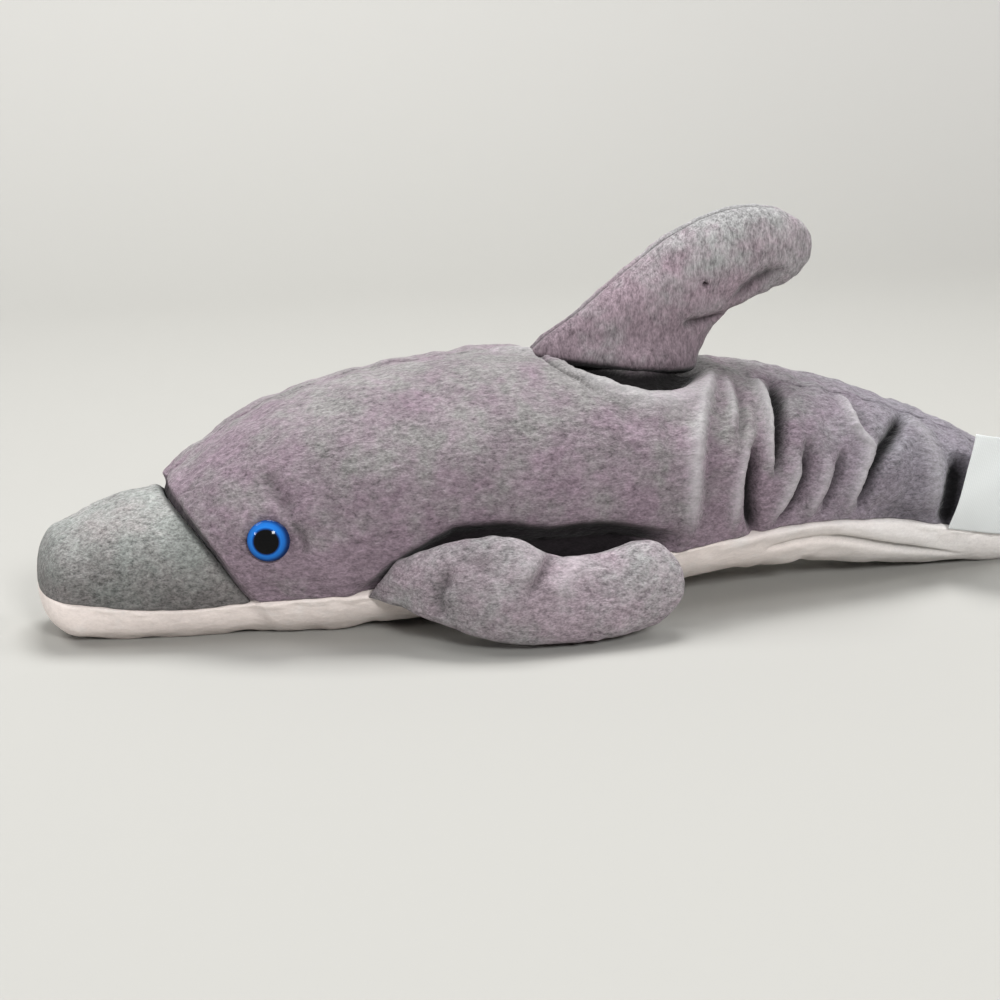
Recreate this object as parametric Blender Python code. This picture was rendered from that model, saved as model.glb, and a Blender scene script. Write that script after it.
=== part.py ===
"""Plush dolphin: a sewn and stuffed soft toy in short pile fabric, about 380 mm long.

It lies on its belly on the plane z = 0 with its snout towards -X. The body is sewn from two side
panels, a snout panel and a pale belly panel round one mass of fibre fill. The back fin, the two
flippers and the tail flukes are flat pockets of two panels each, stuffed and sewn on at their
roots. Two safety eyes are locked through the fabric by washers, and a blank label stands in the
side seam in front of the tail.

Sizes are in millimetres and are turned to metres when a mesh is made. "Along" is the distance
from the snout tip, and "height" is above the floor.
"""

import math

import bpy
import bmesh
import numpy as np

MM = 0.001

# Fabric and sewing
FABRIC = 2.0               # pile fabric with its backing
EDGE_FABRIC = 1.2          # the same fabric pressed flat at a fin's seam
SEAM_GAP = 0.3             # clearance between two pieces that are sewn or pressed together
SEAM_SHIFT = 0.65 * SEAM_GAP   # half the gap along the body at a seam whose ring leans
SEAM_DEPTH = 0.8           # how far a seam pulls the surface in
SNOUT_SEAM_DEPTH = 1.6     # the seam behind the snout is pulled tighter
FILL_CLEARANCE = 0.8       # between the fabric's back and the fibre fill
TAIL_SLACK = 2.4           # fabric hangs this much off the fill where the tail is creased
SLACK_REACH = 62.0         # and this far to each side of the creased stretch's middle

# Body
BODY_LENGTH = 341.0        # snout tip to the sewn end of the tail stock
SNOUT_SEAM = 57.5          # where the snout panel meets the side panels
SNOUT_CAP = 10.0           # length of the blunt rounded snout end
SNOUT_TIP_HEIGHT = 16.0
TAIL_CAP = 16.0            # length over which the tail stock closes inside the flukes
TAIL_TIP_HEIGHT = 8.5
RING_POWER = 2.25          # 2 is an ellipse, more is a fuller, squarer cross-section
UNDER_POWER = 2.9          # the same below the widest height, where the toy sags on the floor

# Cross-sections of the body, each taken through its side seam at the given place. Slant is how
# far the ring leans forward for each millimetre above the seam, as the snout seam does.
#    along, slant,  top, bottom, half width, widest height, seam height
BODY_RINGS = [
    (0.0, 0.05, 34.0, 3.0, 17.5, 17.0, 14.5),
    (10.0, 0.12, 36.0, 1.0, 19.0, 17.5, 13.2),
    (24.0, 0.33, 38.2, -0.8, 21.5, 18.0, 11.3),
    (40.0, 0.52, 40.2, -1.2, 24.0, 18.5, 10.3),
    (57.5, 0.68, 42.6, -1.4, 26.5, 20.0, 11.5),
    (60.0, 0.68, 45.2, -1.4, 29.5, 22.5, 12.0),
    (67.0, 0.66, 49.6, -1.4, 32.0, 25.5, 12.7),
    (75.5, 0.58, 55.3, -1.4, 34.5, 28.5, 13.5),
    (91.5, 0.40, 66.2, 0.0, 37.8, 32.0, 14.0),
    (111.5, 0.24, 73.4, 0.9, 40.3, 34.5, 14.5),
    (140.0, 0.08, 77.6, 0.9, 42.0, 36.5, 15.5),
    (171.0, 0.0, 75.5, 2.6, 41.0, 37.5, 18.0),
    (200.0, 0.0, 71.8, 6.5, 37.0, 37.5, 21.8),
    (230.0, 0.0, 66.2, 7.0, 31.5, 36.0, 24.0),
    (259.0, 0.0, 58.4, 3.6, 26.0, 31.0, 21.3),
    (287.0, 0.0, 47.2, 0.6, 20.0, 24.5, 14.8),
    (310.0, 0.0, 34.5, -0.6, 15.5, 17.0, 10.5),
    (341.0, 0.0, 18.0, -0.6, 11.5, 8.8, 8.0),
]

# The back seam rolls towards the side that faces -Y: along, degrees
BACK_SEAM_ROLL = [(0.0, -8.0), (80.0, -8.0), (150.0, -3.0), (215.0, -10.0), (341.0, -13.0)]

# Gathers that the sewing pulls into the tail stock: depth, half width, points (along, height)
TAIL_CREASES = [
    (1.0, 5.0, [(198, 66), (194, 55), (193, 38), (196, 29)]),
    (3.0, 2.8, [(212, 51), (210, 40), (211, 26)]),
    (3.0, 2.8, [(218, 67), (220, 57.5), (220, 50), (219, 43)]),
    (1.6, 2.8, [(229, 45), (228, 38), (224, 30.5), (222, 25)]),
    (1.2, 2.8, [(241, 43), (239, 35), (238, 28.5)]),
    (2.8, 3.2, [(262, 54), (257, 45), (252, 38), (249.5, 27.5)]),
    (1.0, 3.5, [(247, 59), (249, 50)]),
    (1.4, 5.0, [(284, 31.5), (283, 21)]),
]

# Where the body's fabric is divided for shaping: finer at the snout end and along the gathers
SNOUT_ROWS = [0.0, 0.6, 2.2, 5.0, 10.0, 17.0, 24.0, 32.0, 40.0, 48.0, 54.5, SNOUT_SEAM - SEAM_SHIFT]
BODY_ROW_STEP = 11.0
CREASE_ROW_STEP = 4.2
CREASE_START = 190.0
CREASE_END = 272.0
PANEL_COLUMNS = [0.0, 0.08, 0.2, 0.34, 0.5, 0.66, 0.8, 0.92, 1.0]
BELLY_COLUMNS = [0.0, 0.12, 0.37, 0.63, 0.88, 1.0]
SNOUT_COLUMNS = [0.0, 0.05, 0.15, 0.27, 0.4, 0.5, 0.6, 0.73, 0.85, 0.95, 1.0]

# Stuffed fins: outlines as points (along, sideways, height) from root to tip. The flukes' are
# (behind the end of the tail stock, sideways), from a tip to the middle.
FIN_LEAN = math.radians(7.0)
FIN_LEAN_HEIGHT = 72.0
FIN_FRONT = [
    (146, 71), (151, 80.5), (162, 89), (176, 101), (192, 112), (209, 118.3), (224, 118),
    (234.5, 112.5), (238, 105.5),
]
FIN_REAR = [
    (200, 63), (203, 73), (206, 80), (211, 85.5), (217.5, 89.5), (225, 92.5), (231, 95.3),
    (235.5, 99.3), (238, 105.5),
]
FIN_FILL = [(0.0, 3.5), (0.2, 6.5), (0.45, 7.5), (0.75, 5.5), (1.0, 0.0)]
FLIPPER_UPPER = [
    (90, 28, 21), (99, 37, 25), (108, 42.5, 29), (118, 46, 31.5), (131, 47.5, 31.5),
    (146, 48, 27.5), (160, 47.5, 28.5), (174, 47.5, 26.5), (181, 48.5, 15.5),
]
FLIPPER_LOWER = [
    (89, 29, 13), (97, 39, 12.5), (107, 47, 9), (119, 52, 4.2), (131, 53.6, 0.9),
    (150, 54, 0.1), (164, 52.4, 1.4), (175, 50.4, 6.4), (181, 48.5, 15.5),
]
FLIPPER_FILL = [(0.0, 1.5), (0.15, 2.6), (0.4, 4.8), (0.65, 4.6), (0.85, 3.4), (1.0, 0.0)]
FLUKE_HEIGHT = 6.7
FLUKE_FRONT = [(38, 62), (29, 55.5), (15, 40), (2, 23), (-9, 9), (-13, 0)]
FLUKE_REAR = [(38, 62), (37, 51), (33.5, 34), (30, 18), (24, 6), (20, 0)]
FLUKE_FILL = [(0.0, 0.0), (0.12, 3.0), (0.32, 4.6), (0.5, 5.0), (0.68, 4.6), (0.88, 3.0), (1.0, 0.0)]
FIN_COLUMNS = 8
FIN_ROWS = 10
FLUKE_ROWS = 14
FILL_ROWS = 9
FIN_CLEARANCE = 1.5
FILL_INSET = 0.9          # a fin's fill stops short of its seams

# Safety eyes and their washers
EYE_ALONG = 74.0
EYE_HEIGHT = 33.2
EYE_RADIUS = 6.0
EYE_DOME = 3.4
EYE_RIM = 0.9
SHANK_RADIUS = 2.0
SHANK_LENGTH = 12.0
WASHER_RADIUS = 6.5
WASHER_THICKNESS = 1.4
RUNNING_GAP = 0.3
EYE_SEGMENTS = 16

# Blank label in the side seam
TAG_START = 281.0
TAG_WIDTH = 27.0
TAG_HEIGHT = 35.0
TAG_THICKNESS = 0.6
TAG_LEAN = math.radians(14.0)

TOTAL_LENGTH = BODY_LENGTH + FLUKE_FRONT[0][0]

# Colours, written as they look on a screen
GREY_PILE = "8f8389"
PALE_PILE = "cfc5c0"
FIBRE_FILL = "f2f0ea"
EYE_BLUE = "1d5fa6"
WASHER_WHITE = "e4e4e0"
LABEL_WHITE = "eef2f2"


def clear_scene():
    """Removes whatever the file opened with."""
    for thing in list(bpy.data.objects):
        bpy.data.objects.remove(thing, do_unlink=True)


def material(name, screen_colour, roughness):
    """A plain surface of one colour, given as it looks on a screen."""
    channels = [int(screen_colour[i:i + 2], 16) / 255 for i in (0, 2, 4)]
    linear = [c / 12.92 if c <= 0.04045 else ((c + 0.055) / 1.055) ** 2.4 for c in channels]
    made = bpy.data.materials.new(name)
    made.use_nodes = True
    shader = made.node_tree.nodes["Principled BSDF"]
    shader.inputs["Base Color"].default_value = (*linear, 1.0)
    shader.inputs["Roughness"].default_value = roughness
    shader.inputs["Metallic"].default_value = 0.0
    return made


def smooth_through(x, stations, values):
    """A monotone cubic through the stations, so a size never overshoots between them."""
    xs = np.asarray(stations, float)
    ys = np.asarray(values, float)
    step = np.diff(xs)
    slope = np.diff(ys) / step
    tangent = np.zeros(len(xs))
    tangent[0] = slope[0]
    tangent[-1] = slope[-1]
    before = slope[:-1]
    after = slope[1:]
    weight_before = 2 * step[1:] + step[:-1]
    weight_after = step[1:] + 2 * step[:-1]
    turning = before * after <= 0
    safe_before = np.where(turning, 1.0, before)
    safe_after = np.where(turning, 1.0, after)
    mean = (weight_before + weight_after) / (weight_before / safe_before + weight_after / safe_after)
    tangent[1:-1] = np.where(turning, 0.0, mean)
    x = np.clip(np.asarray(x, float), xs[0], xs[-1])
    index = np.clip(np.searchsorted(xs, x, side="right") - 1, 0, len(step) - 1)
    width = step[index]
    t = (x - xs[index]) / width
    rise = ys[index + 1] - ys[index]
    start = tangent[index] * width
    end = tangent[index + 1] * width
    return ys[index] + start * t + (3 * rise - 2 * start - end) * t ** 2 + (start + end - 2 * rise) * t ** 3


def curve_through(points, t):
    """A Catmull-Rom curve through the points, read at t from 0 to 1."""
    points = np.asarray(points, float)
    first = 2 * points[0] - points[1]
    last = 2 * points[-1] - points[-2]
    padded = np.vstack([first, points, last])
    place = np.clip(t, 0.0, 1.0) * (len(points) - 1)
    index = np.minimum(place.astype(int), len(points) - 2)
    f = (place - index)[:, None]
    p0, p1, p2, p3 = (padded[index + k] for k in range(4))
    bend = (2 * p0 - 5 * p1 + 4 * p2 - p3) * f ** 2 + (3 * p1 - p0 - 3 * p2 + p3) * f ** 3
    return 0.5 * (2 * p1 + (p2 - p0) * f + bend)


def unit(vectors):
    """Vectors of length one in the same directions."""
    length = np.linalg.norm(vectors, axis=-1, keepdims=True)
    return vectors / np.maximum(length, 1e-9)


def ring_sizes(along):
    """The body's cross-section sizes at the given places, with how full its rounded ends are."""
    table = np.asarray(BODY_RINGS, float)
    columns = [smooth_through(along, table[:, 0], table[:, k]) for k in range(1, table.shape[1])]
    names = ("slant", "top", "bottom", "half_width", "widest", "seam")
    sizes = dict(zip(names, columns))
    into_snout = np.clip((SNOUT_CAP - along) / SNOUT_CAP, 0.0, 1.0)
    into_tail = np.clip((along - (BODY_LENGTH - TAIL_CAP)) / TAIL_CAP, 0.0, 1.0)
    sizes["full"] = (1 - into_snout ** 2.6) ** (1 / 2.6) * (1 - into_tail ** 2) ** 0.5
    sizes["core"] = np.where(along < BODY_LENGTH / 2, SNOUT_TIP_HEIGHT, TAIL_TIP_HEIGHT)
    return sizes


def bare_surface(along, angle):
    """Points of the smooth body: angle is 0 on the back, 90 degrees at the +Y side, 180 below.

    Each cross-section is a superellipse, taller above its widest height than below it, and it
    leans forward above the seam.
    """
    ring = ring_sizes(along)
    across = np.sin(angle)
    upward = np.cos(angle)
    power = np.where(upward > 0, 2 / RING_POWER, 2 / UNDER_POWER)
    y = ring["half_width"] * np.sign(across) * np.abs(across) ** power
    reach = np.where(upward > 0, ring["top"] - ring["widest"], ring["widest"] - ring["bottom"])
    z = ring["widest"] + reach * np.sign(upward) * np.abs(upward) ** power
    z = ring["core"] + ring["full"] * (z - ring["core"])
    y = ring["full"] * y
    x = along - ring["full"] * ring["slant"] * (z - ring["seam"])
    return np.stack([x, y, z], axis=-1)


def outward(along, angle):
    """The smooth body's outward direction, from the slopes along and round it."""
    small = 0.05
    turn = 0.01
    low = np.clip(along - small, 0.0, BODY_LENGTH)
    high = np.clip(along + small, 0.0, BODY_LENGTH)
    lengthwise = bare_surface(high, angle) - bare_surface(low, angle)
    round_it = bare_surface(along, angle + turn) - bare_surface(along, angle - turn)
    return unit(np.cross(lengthwise, round_it))


def distance_to_line(x, z, points):
    """Distance from each (x, z) to the nearest place on a chain of straight runs."""
    nearest = np.full(np.shape(x), np.inf)
    for (x0, z0), (x1, z1) in zip(points[:-1], points[1:]):
        length_squared = (x1 - x0) ** 2 + (z1 - z0) ** 2
        t = np.clip(((x - x0) * (x1 - x0) + (z - z0) * (z1 - z0)) / length_squared, 0.0, 1.0)
        away = np.hypot(x - x0 - t * (x1 - x0), z - z0 - t * (z1 - z0))
        nearest = np.minimum(nearest, away)
    return nearest


def crease_depth(points):
    """How deep the gathers of the tail stock pull the surface in, at points of the body."""
    depth = np.zeros(points.shape[:-1])
    for deepest, half_width, line in TAIL_CREASES:
        away = distance_to_line(points[..., 0], points[..., 2], line)
        depth += deepest * np.exp(-(away / half_width) ** 2)
    return depth


def body_skin(along, angle, offset, creased=1.0, floor=0.0):
    """The body's surface moved out by offset, with its gathers, kept above the floor height."""
    points = bare_surface(along, angle)
    move = offset - creased * crease_depth(points)
    points = points + outward(along, angle) * np.asarray(move)[..., None]
    points[..., 2] = np.maximum(points[..., 2], floor)
    return points


def seam_angle(along):
    """The angle from the back at which the side seam runs."""
    ring = ring_sizes(along)
    rise = (ring["seam"] - ring["widest"]) / (ring["widest"] - ring["bottom"])
    return np.arccos(np.sign(rise) * np.abs(rise) ** (UNDER_POWER / 2))


def back_angle(along):
    """The angle at which the back seam runs."""
    places, degrees = zip(*BACK_SEAM_ROLL)
    return np.radians(smooth_through(along, places, degrees))


def side_rows():
    """Places along the body where the side panels are divided."""
    front = [SNOUT_SEAM + SEAM_SHIFT, SNOUT_SEAM + 2.5, SNOUT_SEAM + 7.0]
    middle = np.arange(SNOUT_SEAM + 13.0, CREASE_START, BODY_ROW_STEP)
    creased = np.arange(CREASE_START, CREASE_END, CREASE_ROW_STEP)
    rear = np.arange(CREASE_END + 4.0, BODY_LENGTH - TAIL_CAP, BODY_ROW_STEP)
    end = [BODY_LENGTH - TAIL_CAP * 0.5, BODY_LENGTH - TAIL_CAP * 0.15]
    return np.concatenate([front, middle, creased, rear, end])


def between(low, high, shares):
    """Rows of angles that run from low to high by the given shares."""
    return low[:, None] + (high - low)[:, None] * np.asarray(shares)[None, :]


def pull_edge(grid, edge, inner):
    """Moves one edge of a grid of points towards its neighbour by half the seam gap."""
    grid[edge] += unit(grid[inner] - grid[edge]) * SEAM_GAP / 2


def closed_faces(rows, columns, start_pole, end_pole):
    """Faces of a thin piece between an outer and an inner grid of points, with its rim.

    A pole is an end row that is a single point on each side.
    """
    count = rows * columns

    def corner(side, row, column):
        if (row == 0 and start_pole) or (row == rows - 1 and end_pole):
            column = 0
        return side * count + row * columns + column

    faces = []

    def add(corners):
        distinct = list(dict.fromkeys(corners))
        if len(distinct) > 2:
            faces.append(distinct)

    for r in range(rows - 1):
        for c in range(columns - 1):
            quad = [(r, c), (r + 1, c), (r + 1, c + 1), (r, c + 1)]
            add([corner(0, *q) for q in quad])
            add([corner(1, *q) for q in reversed(quad)])
    for r in range(rows - 1):
        for c in (0, columns - 1):
            add([corner(0, r, c), corner(1, r, c), corner(1, r + 1, c), corner(0, r + 1, c)])
    for r, pole in ((0, start_pole), (rows - 1, end_pole)):
        for c in range(0 if pole else columns - 1):
            add([corner(0, r, c), corner(0, r, c + 1), corner(1, r, c + 1), corner(1, r, c)])
    return faces


def make_object(name, points, faces, surface):
    """One closed piece from points in millimetres, faces outward, smooth apart from its edges."""
    points = (np.asarray(points, float).reshape(-1, 3) - [TOTAL_LENGTH / 2, 0.0, 0.0]) * MM
    mesh = bpy.data.meshes.new(name)
    shape = bmesh.new()
    corners = [shape.verts.new(p) for p in points]
    for face in faces:
        shape.faces.new([corners[i] for i in face])
    loose = [v for v in shape.verts if not v.link_faces]
    bmesh.ops.delete(shape, geom=loose, context="VERTS")
    bmesh.ops.recalc_face_normals(shape, faces=shape.faces)
    shape.to_mesh(mesh)
    shape.free()
    mesh.materials.append(surface)
    mesh.shade_smooth()
    mesh.set_sharp_from_angle(angle=math.radians(50))
    made = bpy.data.objects.new(name, mesh)
    bpy.context.scene.collection.objects.link(made)
    return made


def thin_piece(name, outer, inner, surface, start_pole=False, end_pole=False):
    """A piece of fabric or fill between two grids of points."""
    rows, columns = outer.shape[:2]
    points = np.concatenate([outer.reshape(-1, 3), inner.reshape(-1, 3)])
    return make_object(name, points, closed_faces(rows, columns, start_pole, end_pole), surface)


def cut_away(piece, tool):
    """Takes the tool's volume out of a piece."""
    cut = piece.modifiers.new("cut_" + tool.name, "BOOLEAN")
    cut.operation = "DIFFERENCE"
    cut.solver = "EXACT"
    cut.object = tool


def as_tool(made):
    """Marks an object as a cutting shape that isn't part of the toy."""
    made.hide_render = True
    made.display_type = "WIRE"
    return made


def body_panel(name, rows, low, high, shares, surface, pole_shift=None, snout_row=None):
    """A panel of the body's fabric between two seam angles.

    Its seam edges are drawn in and half the seam gap is left at each. pole_shift is the side to
    which its single end point moves when it starts at the snout tip, and snout_row is its row at
    the seam behind the snout.
    """
    angle = between(low, high, shares)
    along = np.repeat(rows[:, None], len(shares), axis=1)
    drawn_in = np.zeros(angle.shape)
    drawn_in[:, 0] = SEAM_DEPTH
    drawn_in[:, -1] = SEAM_DEPTH
    if snout_row is not None:
        drawn_in[snout_row, :] = SNOUT_SEAM_DEPTH
    has_pole = pole_shift is not None
    grids = []
    for depth in (0.0, FABRIC):
        grid = body_skin(along, angle, -depth - drawn_in, floor=depth)
        if has_pole:
            tip = [depth, 0.0, SNOUT_TIP_HEIGHT + pole_shift * SEAM_GAP / 2]
            grid[0, :] = tip
        start = 1 if has_pole else 0
        pull_edge(grid, np.s_[start:, 0], np.s_[start:, 1])
        pull_edge(grid, np.s_[start:, -1], np.s_[start:, -2])
        grids.append(grid)
    return thin_piece(name, grids[0], grids[1], surface, start_pole=has_pole)


def body_solid(name, rows, offset, surface, creased, floor, slack=0.0):
    """A closed copy of the body moved out by offset, and in by slack along the creased tail."""
    whole = np.concatenate([[0.0], rows, [BODY_LENGTH]])
    left = between(-seam_angle(whole), back_angle(whole), PANEL_COLUMNS)
    right = between(back_angle(whole), seam_angle(whole), PANEL_COLUMNS)[:, 1:]
    under = between(seam_angle(whole), 2 * math.pi - seam_angle(whole), BELLY_COLUMNS)[:, 1:-1]
    angle = np.concatenate([left, right, under], axis=1)
    along = np.repeat(whole[:, None], angle.shape[1], axis=1)
    pressed = slack * np.exp(-((along - (CREASE_START + CREASE_END) / 2) / SLACK_REACH) ** 4)
    if slack:
        seams = [0, left.shape[1] - 1, left.shape[1] + right.shape[1] - 1]
        pressed[:, seams] += SEAM_DEPTH
        pressed[np.abs(whole - SNOUT_SEAM) < 8.0, :] += 1.8 * SNOUT_SEAM_DEPTH
    grid = body_skin(along, angle, offset - pressed, creased=creased, floor=floor)
    points = grid[1:-1].reshape(-1, 3)
    count, around = grid.shape[0] - 2, grid.shape[1]
    tips = [[-offset, 0.0, SNOUT_TIP_HEIGHT], [BODY_LENGTH + offset, 0.0, TAIL_TIP_HEIGHT]]
    points = np.concatenate([points, tips])
    faces = []
    for c in range(around):
        after = (c + 1) % around
        for r in range(count - 1):
            faces.append([r * around + c, (r + 1) * around + c, (r + 1) * around + after, r * around + after])
        faces.append([count * around, c, after])
        last = (count - 1) * around
        faces.append([count * around + 1, last + after, last + c])
    return make_object(name, points, faces, surface)


def fin_grids(front, rear, fill, face, rows, columns=FIN_COLUMNS, spread=1.0):
    """Middle surface, face direction and fill thickness of a flat stuffed pocket.

    Front and rear are its edge curves. Columns run from one edge to the other, closer together
    at the seams, and the thickness there falls to nothing as a half ellipse.
    """
    column = np.linspace(0.0, math.pi, columns + 1)
    share = 0.5 - 0.5 * np.cos(column) * spread
    front_edge = curve_through(front, rows)
    rear_edge = curve_through(rear, rows)
    chord = rear_edge - front_edge
    middle = front_edge[:, None, :] + chord[:, None, :] * share[None, :, None]
    near = 0.03
    inboard = np.clip(rows, near, 1 - near)
    ahead = curve_through(front, inboard + near) + curve_through(rear, inboard + near)
    behind = curve_through(front, inboard - near) + curve_through(rear, inboard - near)
    direction = curve_through(rear, inboard) - curve_through(front, inboard)
    normal = unit(np.cross(direction, ahead - behind))
    normal *= np.sign(normal @ np.asarray(face, float))[:, None]
    profile = smooth_through(rows, *zip(*fill))
    roundness = np.sqrt(np.clip(1 - (2 * share - 1) ** 2, 0.0, 1.0))
    bulge = profile[:, None] * roundness[None, :]
    return middle, normal[:, None, :], bulge, roundness[None, :]


def stuffed_fin(names, front, rear, fill, face, rows, poles, surface, filling):
    """Two panels and their fill, made as one flat pocket, pressed flat where it rests on the floor."""
    middle, normal, bulge, roundness = fin_grids(front, rear, fill, face, rows)
    cloth = EDGE_FABRIC + (FABRIC - EDGE_FABRIC) * roundness
    made = []
    for name, side in zip(names[:2], (1, -1)):
        back_of_cloth = SEAM_GAP / 2 + bulge
        inner = middle + side * normal * back_of_cloth[..., None]
        outer = middle + side * normal * (back_of_cloth + cloth)[..., None]
        inner[..., 2] = np.maximum(inner[..., 2], EDGE_FABRIC / 2)
        outer[..., 2] = np.maximum(outer[..., 2], 0.0)
        made.append(thin_piece(name, outer, inner, surface, *poles))
    short = np.linspace(1 - FILL_INSET if poles[0] else 0.0, FILL_INSET, FILL_ROWS)
    middle, normal, bulge, _ = fin_grids(front, rear, fill, face, short, FIN_COLUMNS // 2, FILL_INSET)
    half = np.maximum(bulge - FIN_CLEARANCE, SEAM_GAP / 3)[..., None]
    made.append(thin_piece(names[2], middle + normal * half, middle - normal * half, filling))
    return made


def root_to_tip_rows():
    """Rows from root to tip, closer together at the rounded tip."""
    return np.sin(np.linspace(0.0, math.pi / 2, FIN_ROWS + 1))


def tip_to_tip_rows():
    """Rows from one tip to the other, closer together at both."""
    return 0.5 - 0.5 * np.cos(np.linspace(0.0, math.pi, FLUKE_ROWS + 1))


def dorsal_fin(surface, filling, envelope):
    """The back fin, leaning a little towards -Y and swept back over its narrow root."""
    def leaned(outline):
        return [(x, -math.tan(FIN_LEAN) * (z - FIN_LEAN_HEIGHT), z) for x, z in outline]

    names = ("dorsal_fin_left", "dorsal_fin_right", "dorsal_fin_stuffing")
    made = stuffed_fin(names, leaned(FIN_FRONT), leaned(FIN_REAR), FIN_FILL, (0, -1, 0),
                       root_to_tip_rows(), (False, True), surface, filling)
    for piece in made:
        cut_away(piece, envelope)


def flipper(side, surface, filling, envelope):
    """A flipper sewn on low behind the head and laid back along the body."""
    sign = -1 if side == "left" else 1
    upper = [(x, sign * y, z) for x, y, z in FLIPPER_UPPER]
    lower = [(x, sign * y, z) for x, y, z in FLIPPER_LOWER]
    names = (f"flipper_{side}_top", f"flipper_{side}_bottom", f"flipper_stuffing_{side}")
    made = stuffed_fin(names, upper, lower, FLIPPER_FILL, (0, sign, 0.3),
                       root_to_tip_rows(), (False, True), surface, filling)
    for piece in made:
        cut_away(piece, envelope)


def flukes(surface, filling, envelope):
    """Both flukes in one flat pocket, with a notch behind, sewn over the end of the tail."""
    def whole(half):
        left = [(BODY_LENGTH + x, -y, FLUKE_HEIGHT) for x, y in half]
        right = [(BODY_LENGTH + x, y, FLUKE_HEIGHT) for x, y in reversed(half[:-1])]
        return left + right

    names = ("fluke_top", "fluke_bottom", "fluke_stuffing")
    made = stuffed_fin(names, whole(FLUKE_FRONT), whole(FLUKE_REAR), FLUKE_FILL, (0, 0, 1),
                       tip_to_tip_rows(), (True, True), surface, filling)
    for piece in made:
        cut_away(piece, envelope)


def turned(name, profile, centre, axis, surface):
    """A solid turned about an axis, from points (radius, distance along the axis) end to end."""
    aside = unit(np.cross(axis, [0.0, 0.0, 1.0]))
    third = np.cross(axis, aside)
    turn = np.linspace(0.0, 2 * math.pi, EYE_SEGMENTS, endpoint=False)
    circle = np.cos(turn)[:, None] * aside + np.sin(turn)[:, None] * third
    points = []
    rings = []
    for radius, height in profile:
        start = len(points)
        if radius == 0:
            points.append(centre + axis * height)
            rings.append([start] * EYE_SEGMENTS)
        else:
            points.extend(centre + axis * height + circle * radius)
            rings.append(list(range(start, start + EYE_SEGMENTS)))
    faces = []
    closed_profile = profile[0][0] > 0
    pairs = list(zip(rings, rings[1:])) + ([(rings[-1], rings[0])] if closed_profile else [])
    for one, two in pairs:
        for k in range(EYE_SEGMENTS):
            after = (k + 1) % EYE_SEGMENTS
            corners = list(dict.fromkeys([one[k], one[after], two[after], two[k]]))
            if len(corners) > 2:
                faces.append(corners)
    return make_object(name, points, faces, surface)


def eye_place(sign):
    """Centre of an eye on the fabric and the direction it looks in."""
    along = np.array([[EYE_ALONG]])
    ring = ring_sizes(along)
    rise = (EYE_HEIGHT - ring["widest"]) / (ring["top"] - ring["widest"])
    angle = sign * np.arccos(rise ** (RING_POWER / 2))
    return bare_surface(along, angle)[0, 0], outward(along, angle)[0, 0], angle


def washer_depth(sign, centre, axis):
    """How far behind the fabric's face the washer lies, so that its rim clears the curved back."""
    along = EYE_ALONG + np.linspace(-14.0, 14.0, 15)[:, None]
    _, _, angle = eye_place(sign)
    round_it = angle + np.linspace(-0.5, 0.5, 15)[None, :]
    along, round_it = np.broadcast_arrays(along, round_it)
    back = body_skin(along, round_it, -FABRIC)
    from_centre = back - centre
    depth = from_centre @ axis
    aside = np.linalg.norm(from_centre - depth[..., None] * axis, axis=-1)
    return -depth[aside < WASHER_RADIUS + 1.5].min() + 2 * RUNNING_GAP


def safety_eye(side, blue, washer_surface, panel, stuffing):
    """A moulded domed eye whose shank goes through the fabric into a locking washer."""
    sign = -1 if side == "left" else 1
    centre, axis, _ = eye_place(sign)
    seat = RUNNING_GAP
    dome = [(0.0, seat + EYE_DOME)]
    for degrees in (30, 55, 75, 90):
        swing = math.radians(degrees)
        rise = EYE_RIM + (EYE_DOME - EYE_RIM) * math.cos(swing)
        dome.append((EYE_RADIUS * math.sin(swing), seat + rise))
    shank = [(EYE_RADIUS, seat), (SHANK_RADIUS, seat), (SHANK_RADIUS, -SHANK_LENGTH), (0.0, -SHANK_LENGTH)]
    turned(f"eye_{side}", dome + shank, centre, axis, blue)
    front = -washer_depth(sign, centre, axis)
    back = front - WASHER_THICKNESS
    bore = SHANK_RADIUS + RUNNING_GAP
    ring = [(bore, front), (WASHER_RADIUS, front), (WASHER_RADIUS, back), (bore, back)]
    turned(f"eye_washer_{side}", ring, centre, axis, washer_surface)
    hole = [(0.0, 8.0), (bore, 8.0), (bore, front - 2.0), (0.0, front - 2.0)]
    cut_away(panel, as_tool(turned(f"shank_hole_{side}", hole, centre, axis, blue)))
    wide = WASHER_RADIUS + FILL_CLEARANCE
    floor = -SHANK_LENGTH - FILL_CLEARANCE
    step = back - FILL_CLEARANCE
    pocket = [(0.0, 8.0), (wide, 8.0), (wide, step), (bore, step), (bore, floor), (0.0, floor)]
    cut_away(stuffing, as_tool(turned(f"washer_pocket_{side}", pocket, centre, axis, blue)))


def label(surface):
    """A blank satin label that stands up out of the side seam on the -Y side."""
    along = np.linspace(TAG_START, TAG_START + TAG_WIDTH, 7)
    angle = -seam_angle(along)
    root = body_skin(along, angle, SEAM_GAP)
    away = outward(along, angle)
    away[:, 2] = 0.0
    away = unit(away)
    rise = np.linspace(0.0, 1.0, 7)[None, :, None]
    outward_part = math.sin(TAG_LEAN) * TAG_HEIGHT * rise ** 1.3 + 6.0 * (1 - (1 - rise) ** 3)
    upward_part = math.cos(TAG_LEAN) * TAG_HEIGHT * rise
    face = root[:, None, :] + away[:, None, :] * outward_part
    face = face + np.array([0.0, 0.0, 1.0]) * upward_part
    outer = face + away[:, None, :] * TAG_THICKNESS
    return thin_piece("sewn_tag", outer, face, surface)


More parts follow.
